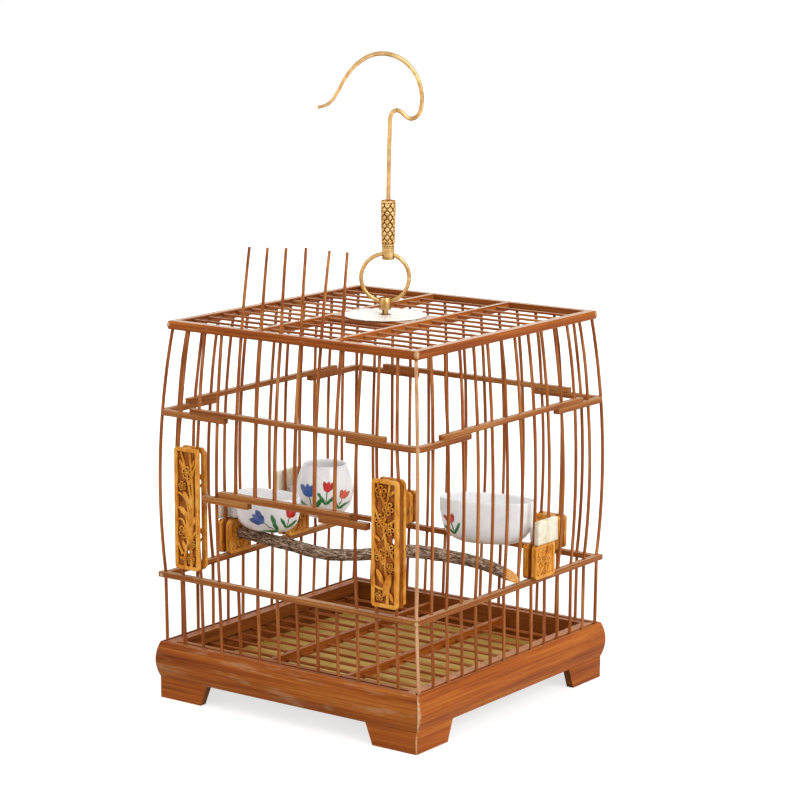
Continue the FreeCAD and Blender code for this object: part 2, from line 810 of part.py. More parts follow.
BARREL_LOW = f"({DISC_TOP} + shank_gap)"
EYE_LEVEL = f"({BARREL_LOW} + barrel_height*eye_level_share)"
FOOT_TOP = "(top_level - turning_clearance)"
FOOT_LOW = f"({FOOT_TOP} - shank_foot)"
barrel = fuse(
    [
        prism("0", "0", FOOT_LOW, "shank_radius + shank_foot", "shank_foot"),
        prism("0", "0", FOOT_TOP, "shank_radius", f"{BARREL_LOW} - {FOOT_TOP}"),
        prism("0", "0", BARREL_LOW, "barrel_radius", "barrel_height"),
    ]
)
slot_low = f"({FOOT_LOW} - overrun)"
split = box(
    "-shank_slot/2", "-barrel_radius", slot_low,
    "shank_slot", "2*barrel_radius", f"{BARREL_LOW} - {slot_low}",
)  # fmt: skip
cut(barrel, compound([split, eye("0", EYE_LEVEL)]), "hanger_barrel")


def tube(points, radius, sides, across, closed=False):
    """A wire of flat facets along points in one plane, mitred at each; across is square to that plane."""
    rings = []
    count = len(points)
    for step, spot in enumerate(points):
        before = points[step - 1] if step or closed else None
        after = points[(step + 1) % count] if step < count - 1 or closed else None
        into = (spot - before).normalize() if before else (after - spot).normalize()
        away = (after - spot).normalize() if after else into
        bisector = (into + away).normalize()
        side = bisector.cross(across) * (radius / max(bisector.dot(into), 0.5))
        rings.append(
            [
                spot
                + across * (radius * math.sin(2 * math.pi * k / sides))
                + side * math.cos(2 * math.pi * k / sides)
                for k in range(sides)
            ]
        )
    return skin(rings, closed)


def skin(rings, closed=False):
    """A solid of flat faces between rings of as many points each."""
    faces = []
    count, sides = len(rings), len(rings[0])
    for step in range(count if closed else count - 1):
        low, high = rings[step], rings[(step + 1) % count]
        for k in range(sides):
            after = (k + 1) % sides
            corners = [low[k], low[after], high[after], high[k]]
            normal = (corners[1] - corners[0]).cross(corners[2] - corners[0]).normalize()
            flat = abs(normal.dot(corners[3] - corners[0]))
            if flat < FLATNESS:
                faces.append(Part.Face(Part.makePolygon(corners + corners[:1])))
            else:
                for a, b, c in ((0, 1, 2), (0, 2, 3)):
                    outline_points = [corners[a], corners[b], corners[c], corners[a]]
                    faces.append(Part.Face(Part.makePolygon(outline_points)))
    if not closed:
        for ring in (rings[0], rings[-1]):
            faces.append(Part.Face(Part.makePolygon(ring + ring[:1])))
    solid = Part.Solid(Part.makeShell(faces))
    if solid.Volume < 0:
        solid.reverse()
    return solid


def feature(shape, label, placement=None):
    """A sub-part shaped by a formula."""
    piece = doc.addObject("Part::Feature", "Shaped")
    piece.Shape = shape
    if placement:
        piece.Placement = placement
    return keep(piece, label)


FLATNESS = 1e-7 * value("width")
HANGER_TURN = Placement(Vector(), Rotation(Vector(0, 0, 1), value("hook_turn")))
ring_middle = value(f"{EYE_LEVEL} + ring_radius - ring_sag")
stations = int(SIZES["ring_station_count"])
ring_points = [
    Vector(
        value("ring_radius") * math.sin(2 * math.pi * step / stations),
        0,
        ring_middle - value("ring_radius") * math.cos(2 * math.pi * step / stations),
    )
    for step in range(stations)
]
ring_sides = int(SIZES["ring_side_count"])
ring_shape = tube(ring_points, value("ring_wire"), ring_sides, Vector(0, 1, 0), closed=True)
feature(ring_shape, "hanger_ring", HANGER_TURN)

UPPER_EYE = f"({EYE_LEVEL} + 2*ring_radius - ring_sag - ferrule_sag)"
FERRULE_LOW = f"({UPPER_EYE} - ring_wire - ferrule_lip)"
FERRULE_TOP = f"({FERRULE_LOW} + ferrule_height)"
HOOK_X = "(hook_offset*cos(hook_turn*1deg))"
HOOK_Y = "(hook_offset*sin(hook_turn*1deg))"
ferrule = prism(HOOK_X, HOOK_Y, FERRULE_LOW, "ferrule_radius", "ferrule_height")
cut(ferrule, eye("hook_offset", UPPER_EYE), "ferrule")

SLEEVE_TOP = f"({FERRULE_TOP} + sleeve_height)"
sleeve_stations = [
    (FERRULE_TOP, "sleeve_foot_radius"),
    (f"({FERRULE_TOP} + sleeve_band)", "sleeve_waist_radius"),
    (f"({SLEEVE_TOP} - sleeve_band)", "sleeve_shoulder_radius"),
    (SLEEVE_TOP, "sleeve_head_radius"),
]
sleeve = faceted_rod(
    [(HOOK_X, HOOK_Y, z, radius) for z, radius in sleeve_stations],
    sides="hanger_side_count",
)
seat_reach = "(hook_wire + turning_clearance)/cos(180deg/hanger_side_count)"
seat = prism(HOOK_X, HOOK_Y, f"({SLEEVE_TOP} - hook_seat)", seat_reach, "hook_seat + overrun")
cut(sleeve, seat, "hook_sleeve")


def arc(middle_x, middle_z, radius, first, last, steps):
    """Points on an arc, its middle given from the foot of the hook's stem."""
    points = []
    for step in range(steps + 1):
        angle = math.radians(first + (last - first) * step / steps)
        points.append((middle_x + radius * math.cos(angle), middle_z + radius * math.sin(angle)))
    return points


VALLEY_SHARE = 0.7
stem = value("hook_stem")
kink, valley, bend, flare = (value(f"hook_{name}_radius") for name in ("kink", "valley", "bend", "flare"))
bend_x, bend_z = -value("hook_bend_offset"), stem + value("hook_bend_rise")
flare_x, flare_z = bend_x - value("hook_flare_reach"), bend_z + value("hook_flare_rise")
hook_line = [(0, value("turning_clearance") - value("hook_seat"))]
hook_line += arc(kink, stem, kink, 180, 35, 5)
hook_line += arc(3 * kink + valley * VALLEY_SHARE, stem + kink * VALLEY_SHARE, valley, 195, 340, 5)
hook_line += arc(bend_x, bend_z, bend, -12, 140, 12)
hook_line += arc(flare_x, flare_z, flare, -15, -95, 4)
sleeve_top = value(SLEEVE_TOP)
hook_points = [Vector(x + value("hook_offset"), 0, z + sleeve_top) for x, z in hook_line]
hook_shape = tube(hook_points, value("hook_wire"), int(SIZES["ring_side_count"]), Vector(0, 1, 0))
feature(hook_shape, "hook", HANGER_TURN)


# Carved pieces: openwork panels on the front, clips between rods of the walls
def flat_piece(points, board):
    """A flat piece of the carving through (along, level) points from the middle of its plate."""
    corners = [Vector(along, 0, level) for along, level in points]
    return Part.Face(Part.makePolygon(corners + corners[:1])).extrude(Vector(0, board, 0))


def plate_outline(width, height, corner):
    """A rectangle with cut corners about its middle."""
    x, z = width / 2, height / 2
    return [
        (-x + corner, -z), (x - corner, -z), (x, -z + corner), (x, z - corner),
        (x - corner, z), (-x + corner, z), (-x, z - corner), (-x, -z + corner),
    ]  # fmt: skip


def twig(points, width, board):
    """A flat strip along points, as wide as a twig at its foot and half as wide at its tip."""
    left, right = [], []
    for step, (x, z) in enumerate(points):
        before, after = points[max(step - 1, 0)], points[min(step + 1, len(points) - 1)]
        dx, dz = after[0] - before[0], after[1] - before[1]
        size = width / 2 * (1 - step / (len(points) - 1) / 2) / math.hypot(dx, dz)
        left.append((x - dz * size, z + dx * size))
        right.append((x + dz * size, z - dx * size))
    return flat_piece(left + right[::-1], board)


def blossom(x, z, radius, board, petals=5):
    """A flat flower with a notch between its petals."""
    points = []
    for step in range(2 * petals):
        reach = radius * (PETAL_NOTCH_SHARE if step % 2 else 1)
        angle = math.pi * (step / petals + 1 / 2)
        points.append((x + reach * math.cos(angle), z + reach * math.sin(angle)))
    return flat_piece(points, board)


# Places in a panel's window, from -1 to 1 across it and from 0 to 1 up it
PETAL_NOTCH_SHARE = 0.66
PLUM_TWIG_SHARES = (
    ((0.2, -0.02), (0.45, 0.14), (-0.1, 0.33), (0.15, 0.5), (-0.2, 0.64), (0.1, 0.8), (0.5, 1.02)),
    ((-0.1, 0.33), (-0.75, 0.4), (-1.1, 0.5)),
    ((0.15, 0.5), (0.6, 0.42), (1.1, 0.34)),
    ((-0.2, 0.64), (-0.7, 0.7), (-1.1, 0.8)),
    ((-0.2, 0.64), (0.5, 0.66), (1.1, 0.72)),
    ((0.1, 0.8), (-0.5, 0.9), (-0.8, 1.02)),
    ((0.45, 0.14), (-0.3, 0.1), (-1.1, 0.14)),
)
PLUM_BLOSSOM_SHARES = ((-0.45, 0.91), (0.3, 0.79), (-0.5, 0.69), (0.5, 0.62), (0.45, 0.45), (-0.55, 0.42))
PLUM_BUD_SHARES = ((-0.3, 0.1), (0.4, 0.2))
ORCHID_TWIG_SHARES = (
    ((0.1, 0.2), (-0.1, 0.34), (-0.6, 0.42), (-1.1, 0.4)),
    ((0.15, 0.2), (0.05, 0.4), (-0.4, 0.52), (-1.1, 0.5)),
    ((0.2, 0.2), (0.25, 0.45), (-0.1, 0.62), (-1.1, 0.64)),
    ((0.3, 0.2), (0.5, 0.5), (0.3, 0.72), (-0.7, 1.02)),
    ((0.35, 0.2), (0.75, 0.48), (0.6, 0.75), (0.3, 1.02)),
    ((0.3, 0.2), (0.7, 0.3), (1.1, 0.32)),
    ((0.3, 0.72), (0.7, 0.84), (1.1, 0.92)),
    ((-0.2, -0.02), (-0.5, 0.1), (0.1, 0.22)),
    ((0.4, -0.02), (0.6, 0.12), (0.2, 0.22)),
    ((-0.5, 0.1), (-0.8, 0.14), (-1.1, 0.2)),
)
ORCHID_BLOSSOM_SHARES = ((0.15, 0.78), (-0.3, 0.35), (-0.4, 0.66))
ORCHID_BUD_SHARES = ((0.3, 0.07), (0.5, 0.22))
LATTICE_TWIG_SHARES = (
    ((-1.1, 0.02), (1.1, 0.26)),
    ((1.1, 0.26), (-1.1, 0.5)),
    ((-1.1, 0.5), (1.1, 0.74)),
    ((1.1, 0.74), (-1.1, 0.98)),
)


def carving(twigs, blossoms=(), buds=()):
    """An openwork plate about the middle of its inner face: twigs and blossoms in a border."""
    width, height, board = (value(f"panel_{name}") for name in ("width", "height", "board"))
    border, corner = value("panel_border"), value("panel_corner")
    across, up = width / 2 - border, height - 2 * border

    def spot(place):
        return -place[0] * across, (place[1] - 1 / 2) * up

    window = flat_piece(plate_outline(width - 2 * border, height - 2 * border, corner / 2), board)
    plate = flat_piece(plate_outline(width, height, corner), board).cut(window)
    thin, thick = value("twig_width"), value("twig_board")
    inside = [twig([spot(place) for place in places], thin, thick) for places in twigs]
    inside += [blossom(*spot(place), value("blossom_radius"), board) for place in blossoms]
    inside += [blossom(*spot(place), value("bud_radius"), board) for place in buds]
    whole = flat_piece(plate_outline(width, height, corner), board)
    return plate.fuse([piece.common(whole) for piece in inside]).removeSplitter()


def plate(shape, wall, along, low_across, level):
    """A carved plate about a place on a wall, its face turned out."""
    board = doc.addObject("Part::Feature", "Carved")
    board.Shape = shape
    board.Placement = Placement(Vector(), Rotation(Vector(0, 0, 1), TURN[wall]))
    x, y = on_wall(wall, along, low_across)
    place(board, x, y, level)
    return board


OUT_FACE = f"({line('depth', 'bow_level')} + rod_radius + plate_clearance)"
IN_FACE = f"({line('depth', 'panel_level')} - rod_radius - plate_clearance)"
PANEL_MIDDLE = "(panel_level + panel_height/2)"
plum = carving(PLUM_TWIG_SHARES, PLUM_BLOSSOM_SHARES, PLUM_BUD_SHARES)
orchid = carving(ORCHID_TWIG_SHARES, ORCHID_BLOSSOM_SHARES, ORCHID_BUD_SHARES)
lattice = carving(LATTICE_TWIG_SHARES)
for side, index, motif in (
    ("left", "(guide_count/2)", orchid),
    ("right", "(rod_gap_count - guide_count/2)", plum),
):
    along = f"({upright(index)} + panel_shift)"
    keep(plate(motif, "front", along, OUT_FACE, PANEL_MIDDLE), f"panel_{side}_outer")
    inner_plate = plate(lattice, "front", along, f"({IN_FACE} - panel_board)", PANEL_MIDDLE)
    pegs = [
        wall_box(
            "front",
            f"({upright(index)} - peg_width/2)",
            f"({upright(index)} + peg_width/2)",
            IN_FACE,
            OUT_FACE,
            f"(panel_level + {low})",
            f"(panel_level + {low} + peg_height)",
        )
        for low in ("peg_inset", "panel_height - peg_inset - peg_height")
    ]
    fuse([inner_plate] + pegs, f"panel_{side}_inner")


def clip(wall, index, label=None):
    """A clip between two rods, its plates before and behind them, standing on the lower hoop."""
    middle = fan(wall, index, LOW_TOP)
    out_face = f"({line(ACROSS[wall], CLIP_TOP)} + rod_radius + plate_clearance)"
    in_face = f"({line(ACROSS[wall], LOW_TOP)} - rod_radius - plate_clearance)"
    narrow = (f"({middle} - clip_web/2)", f"({middle} + clip_web/2)")
    width, height, corner = (value(f"clip_{name}") for name in ("width", "height", "corner"))
    board = flat_piece(plate_outline(width, height, corner), value("clip_board"))
    level = f"({LOW_TOP} + clip_height/2)"
    return fuse(
        [
            plate(board, wall, middle, out_face, level),
            wall_box(wall, *narrow, in_face, out_face, LOW_TOP, CLIP_TOP),
            plate(board, wall, middle, f"({in_face} - clip_board)", level),
        ],
        label,
    )


PERCH_INDEX = "perch_clip_count"
FAR_PERCH_INDEX = f"(rod_gap_count - {PERCH_INDEX})"
clip("left", FAR_PERCH_INDEX, "clip_left_front")
clip("left", PERCH_INDEX, "clip_left_back")
clip("right", FAR_PERCH_INDEX, "clip_right")
back_clips = [clip("back", index) for index in ("(rod_gap_count - back_clip_count)", "back_clip_count")]
compound(back_clips, "clips_back")

# Perch: a crooked branch from the clip in the left wall to the hoop of the right wall
PERCH_SHARES = (
    (0.0, 1.0, 0.95),
    (0.1, 0.72, 1.0),
    (0.2, 0.45, 1.05),
    (0.3, 0.12, 0.98),
    (0.4, 0.25, 0.94),
    (0.5, 0.62, 1.0),
    (0.62, 1.2, 1.08),
    (0.75, 1.1, 1.0),
    (0.86, 0.9, 0.96),
    (0.94, 0.4, 0.92),
    (1.0, 0.0, 0.9),
)
perch_start = -value(f"{line('width', LOW_TOP)} - rod_radius - 2*plate_clearance - clip_board")
perch_end = value(f"{line('width', LOW_TOP)} + hoop_width/2")
perch_back = value(fan("right", FAR_PERCH_INDEX, LOW_TOP))
perch_low = value(f"{LOW_TOP} + plate_clearance + perch_radius*{PERCH_SHARES[-1][2]}")
perch_sides = int(SIZES["perch_side_count"])
perch_rings = []
for reach, rise, swell in PERCH_SHARES:
    middle = Vector(
        perch_start + reach * (perch_end - perch_start),
        -perch_back * (1 - reach),
        perch_low + rise * value("perch_rise"),
    )
    radius = swell * value("perch_radius")
    turns = [2 * math.pi * k / perch_sides for k in range(perch_sides)]
    perch_rings.append([middle + Vector(0, radius * math.cos(a), radius * math.sin(a)) for a in turns])
feature(skin(perch_rings), "perch")


# Cups: porcelain with a neck through the wall, and a lug outside it
def cup_shape(reach, aspect, tall, blunt, shares):
    """A faceted cup about its own middle: rings of one outline, its inside a wall away."""
    wall, sides = value("cup_wall"), int(SIZES["cup_side_count"])
    outer_shares, inner_shares = shares
    profile = [(reach * r, tall * rise) for r, rise in outer_shares]
    profile += [(reach * r - wall, wall + (tall - wall) * rise) for r, rise in inner_shares]
    rings = []
    for radius, level in profile:
        ring = []
        for k in range(sides):
            c, s = math.cos(2 * math.pi * (k + 0.5) / sides), math.sin(2 * math.pi * (k + 0.5) / sides)
            x = math.copysign(abs(c) ** blunt, c)
            y = math.copysign(abs(s) ** blunt, s)
            ring.append(Vector(radius * x, radius * aspect * y, level))
        rings.append(ring)
    return skin(rings)


# Radius and height of a cup's outside from its foot, then of its inside from its rim
BOAT_SHARES = (
    ((0.5, 0.0), (0.78, 0.12), (0.94, 0.38), (1.0, 0.72), (1.0, 1.0)),
    ((1.0, 1.0), (1.0, 0.7), (0.92, 0.34), (0.6, 0.0)),
)
JAR_SHARES = (
    ((0.52, 0.0), (0.82, 0.16), (1.0, 0.46), (0.98, 0.68), (0.77, 1.0)),
    ((0.77, 1.0), (0.98, 0.66), (1.0, 0.42), (0.6, 0.0)),
)


def cup(name, wall, index, radius, aspect, tall, level, gap, shares, turn=0, blunt=1.0, lug_level=None):
    """A cup inside a wall with its neck over a clip, and its lug against the outside of the rods."""
    across = value(line(ACROSS[wall], "bow_level"))
    outside = across + value("rod_radius + lug_clearance")
    inside = across - value("rod_radius") - gap
    along = value(fan(wall, index, LOW_TOP))
    low = value(f"{CLIP_TOP} + cup_seat_gap")
    neck_low, neck_high = value("neck_width") / 2, value("neck_height")
    bowl = cup_shape(radius, aspect, tall, blunt, shares)
    bowl.translate(Vector(-radius, 0, level))
    bowl.rotate(Vector(), Vector(0, 0, 1), turn)
    bowl.translate(Vector(inside, 0, 0))
    root = inside - value("neck_root")
    neck = Part.makeBox(outside - root, 2 * neck_low, neck_high, Vector(root, -neck_low, low))
    board, wide, high = (value(f"lug_{name}") for name in ("board", "width", "height"))
    lug = Part.makeBox(board, wide, high, Vector(outside, -wide / 2, lug_level or low))
    side = {"right": 0, "left": 180}[wall]
    spot = Placement(Vector(0, along if wall == "right" else -along, 0), Rotation(Vector(0, 0, 1), side))
    feature(bowl.fuse(neck), f"{name}_cup", spot)
    feature(lug, f"{name}_cup_lug", spot)


cup(
    "round", "left", PERCH_INDEX, value("round_cup_radius"), 1.0, value("round_cup_height"),
    value("round_cup_level"), value("round_cup_gap"), JAR_SHARES, lug_level=value("round_lug_level"),
)
cup(
    "long", "right", FAR_PERCH_INDEX, value("long_cup_length/2"),
    value("long_cup_width/long_cup_length"), value("long_cup_height"), value("long_cup_level"),
    value("long_cup_gap"), BOAT_SHARES, turn=value("long_cup_turn"), blunt=value("cup_blunt_share"),
)
cup(
    "short", "left", FAR_PERCH_INDEX, value("short_cup_length/2"),
    value("short_cup_width/short_cup_length"), value("short_cup_height"), value("short_cup_level"),
    value("short_cup_gap"), BOAT_SHARES, blunt=value("cup_blunt_share"),
)

# Check and write
doc.recompute()
for piece in doc.Objects:
    if {"Invalid", "Error"} & set(piece.State):
        raise RuntimeError(f"{piece.Name} ({piece.Label}) failed: {piece.State}")
os.makedirs("parts", exist_ok=True)
for name, piece in parts.items():
    shape = piece.Shape
    if shape.isNull() or not shape.isValid() or not shape.Solids:
        raise RuntimeError(f"{name} has no valid solid")
    shape.exportStep(f"parts/{name}.step")
print(len(parts), "sub-parts written")
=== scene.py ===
"""A small songbird cage of split bamboo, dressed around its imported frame. Lengths are in metres, +Z up, front at -Y."""

import logging
import math
import random
from collections.abc import Callable
from dataclasses import dataclass
from enum import Enum
from typing import Protocol

import bpy
from mathutils import Matrix, Vector, noise


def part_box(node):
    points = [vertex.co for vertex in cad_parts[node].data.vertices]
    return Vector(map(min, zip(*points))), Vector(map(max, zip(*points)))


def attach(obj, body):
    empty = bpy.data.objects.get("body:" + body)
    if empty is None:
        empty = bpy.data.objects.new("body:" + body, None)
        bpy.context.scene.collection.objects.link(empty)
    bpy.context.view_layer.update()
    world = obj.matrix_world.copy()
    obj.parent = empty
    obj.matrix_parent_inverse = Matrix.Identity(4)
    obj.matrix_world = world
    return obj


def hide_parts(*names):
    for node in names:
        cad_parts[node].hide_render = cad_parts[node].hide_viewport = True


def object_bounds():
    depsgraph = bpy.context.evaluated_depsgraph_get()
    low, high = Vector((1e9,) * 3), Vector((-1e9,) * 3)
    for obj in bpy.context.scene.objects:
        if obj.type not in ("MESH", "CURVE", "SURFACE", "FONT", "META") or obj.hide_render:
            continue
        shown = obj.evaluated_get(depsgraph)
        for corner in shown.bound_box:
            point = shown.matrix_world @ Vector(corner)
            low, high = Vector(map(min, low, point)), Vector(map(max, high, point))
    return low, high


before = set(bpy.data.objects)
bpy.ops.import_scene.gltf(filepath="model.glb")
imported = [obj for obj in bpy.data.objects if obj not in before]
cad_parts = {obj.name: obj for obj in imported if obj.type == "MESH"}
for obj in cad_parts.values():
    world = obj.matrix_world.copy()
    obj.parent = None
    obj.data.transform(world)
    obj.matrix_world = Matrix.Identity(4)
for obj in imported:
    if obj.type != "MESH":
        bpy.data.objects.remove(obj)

LOG = logging.getLogger("bird_cage")
MM = 0.001
SEED = 7
CAD_BOUNDS = [[float(v) for v in corner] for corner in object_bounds()]
HANGER_TURN = Matrix.Rotation(math.radians(36.0), 4, "Z")

Piece = bpy.types.Object
Tree = bpy.types.NodeTree
Socket = bpy.types.NodeSocket
Colour = tuple[float, float, float, float]
Triple = tuple[float, float, float]
Pair = tuple[float, float]
Line = tuple[Pair, ...]
Spots = tuple[tuple[float, float, float, float], ...]
NO_SHIFT: Triple = (0.0, 0.0, 0.0)


class Grain(Enum):
    """The direction that the fibres of a wooden piece run in."""

    ALONG_X = 0
    ALONG_Y = 1
    ALONG_Z = 2
    ROUND = 3


class Wall(Enum):
    """A wall of the cage, by the turn about Z that takes the back wall to it, in degrees."""

    FRONT = 180
    RIGHT = -90
    BACK = 0
    LEFT = 90


# Colour and nodes
def linear(hex_colour: str) -> Colour:
    """Turns an sRGB hex colour to linear red, green, blue and alpha.

    Args:
        hex_colour: six hex digits with a leading #.

    Returns:
        Linear colour with an alpha of 1.
    """
    parts = [int(hex_colour[i : i + 2], 16) / 255 for i in (1, 3, 5)]
    red, green, blue = (p / 12.92 if p <= 0.04045 else ((p + 0.055) / 1.055) ** 2.4 for p in parts)
    return red, green, blue, 1.0


def add_node(tree: Tree, kind: str, settings: dict | None = None, inputs: dict | None = None) -> bpy.types.Node:
    """Adds a node with its settings and fills or links its inputs.

    Args:
        tree: the node tree.
        kind: the node's type name without its ShaderNode prefix.
        settings: attribute values by name.
        inputs: socket values or output sockets, by socket name or number.

    Returns:
        The new node.
    """
    node = tree.nodes.new("ShaderNode" + kind)
    for name, value in (settings or {}).items():
        setattr(node, name, value)
    for name, value in (inputs or {}).items():
        socket = node.inputs[name]
        if isinstance(value, Socket):
            tree.links.new(value, socket)
        else:
            socket.default_value = value
    return node


def add_ramp(tree: Tree, source: Socket, stops: list[tuple[float, str]]) -> Socket:
    """Adds a colour ramp over a source.

    Args:
        tree: the node tree.
        source: the value that the ramp reads.
        stops: places with a hex colour each.

    Returns:
        The ramp's colour output.
    """
    ramp = add_node(tree, "ValToRGB", inputs={"Fac": source})
    elements = ramp.color_ramp.elements
    while len(elements) < len(stops):
        elements.new(0.5)
    for element, (place, colour) in zip(elements, stops):
        element.position = place
        element.color = linear(colour)
    return ramp.outputs["Color"]


def mix_colour(tree: Tree, factor: Socket, first: Socket, second: Colour) -> Socket:
    """Mixes two colours.

    Args:
        tree: the node tree.
        factor: the share of the second colour.
        first: the colour at factor 0.
        second: the colour at factor 1.

    Returns:
        The mixed colour's output.
    """
    return add_node(tree, "Mix", {"data_type": "RGBA"}, {0: factor, 6: first, 7: second}).outputs[2]


def calculate(tree: Tree, operation: str, first: Socket, second: Socket | float) -> Socket:
    """Adds a math node and returns its output."""
    return add_node(tree, "Math", {"operation": operation}, {0: first, 1: second}).outputs[0]


def blend(tree: Tree, first: Socket, second: Socket, share: float) -> Socket:
    """Adds up two values, the first with a share and the second with the rest of one."""
    rest = calculate(tree, "MULTIPLY", second, 1 - share)
    return calculate(tree, "ADD", calculate(tree, "MULTIPLY", first, share), rest)


def between(tree: Tree, source: Socket, low: float, high: float, to_low: float = 0.0, to_high: float = 1.0) -> Socket:
    """Maps a range of a value to another range, held at its ends."""
    inputs = {"Value": source, "From Min": low, "From Max": high, "To Min": to_low, "To Max": to_high}
    return add_node(tree, "MapRange", inputs=inputs).outputs[0]


def object_place(tree: Tree, sizes_mm: Triple, shift: Triple = NO_SHIFT, level: bool = False) -> Socket:
    """Object coordinates divided by a size in millimetres per axis.

    Args:
        tree: the node tree.
        sizes_mm: the pattern's size along X, Y and Z.
        shift: offset in pattern units.
        level: whether X and Y are added up first, so that a pattern runs round a corner.

    Returns:
        The scaled coordinates' output.
    """
    place = add_node(tree, "TexCoord").outputs["Object"]
    if level:
        parts = add_node(tree, "SeparateXYZ", inputs={0: place}).outputs
        run = calculate(tree, "ADD", parts["X"], parts["Y"])
        place = add_node(tree, "CombineXYZ", inputs={"X": run, "Z": parts["Z"]}).outputs[0]
    scale = tuple(1 / (size * MM) for size in sizes_mm)
    return add_node(tree, "Mapping", inputs={"Vector": place, "Location": shift, "Scale": scale}).outputs[0]


def speckle(tree: Tree, sizes_mm: Triple, detail: float = 3.0, shift: Triple = NO_SHIFT, level: bool = False) -> Socket:
    """Noise with a size in millimetres per axis.

    Args:
        tree: the node tree.
        sizes_mm: the size of its spots along X, Y and Z.
        detail: how many finer layers it has.
        shift: offset in pattern units.
        level: whether it runs level round corners.

    Returns:
        The noise's value output.
    """
    inputs = {"Vector": object_place(tree, sizes_mm, shift, level), "Scale": 1.0, "Detail": detail, "Roughness": 0.62}
    return add_node(tree, "TexNoise", inputs=inputs).outputs["Fac"]


def new_material(name: str) -> tuple[bpy.types.Material, Tree, bpy.types.Node]:
    """Makes an empty principled material.

    Args:
        name: the material's name.

    Returns:
        The material, its tree and its principled shader.
    """
    material = bpy.data.materials.new(name)
    material.use_nodes = True
    shader = material.node_tree.nodes["Principled BSDF"]
    return material, material.node_tree, shader


def link(tree: Tree, source: Socket, node: bpy.types.Node, socket: str) -> None:
    """Links an output to a named input."""
    tree.links.new(source, node.inputs[socket])


def bump(tree: Tree, shader: bpy.types.Node, height: Socket, depth_mm: float) -> None:
    """Gives a shader a bump of a real depth."""
    node = add_node(tree, "Bump", inputs={"Strength": 1.0, "Distance": depth_mm * MM, "Height": height})
    link(tree, node.outputs[0], shader, "Normal")


def surface(shader: bpy.types.Node, roughness: float, gloss: float) -> None:
    """Sets how rough a shader is and how much it reflects."""
    shader.inputs["Roughness"].default_value = roughness
    shader.inputs["Specular IOR Level"].default_value = gloss


# Finishes
class Finish(Protocol):
    """What every finish has: a name, and a method that builds its material."""

    name: str

    def build(self) -> bpy.types.Material:
        """Builds the material."""


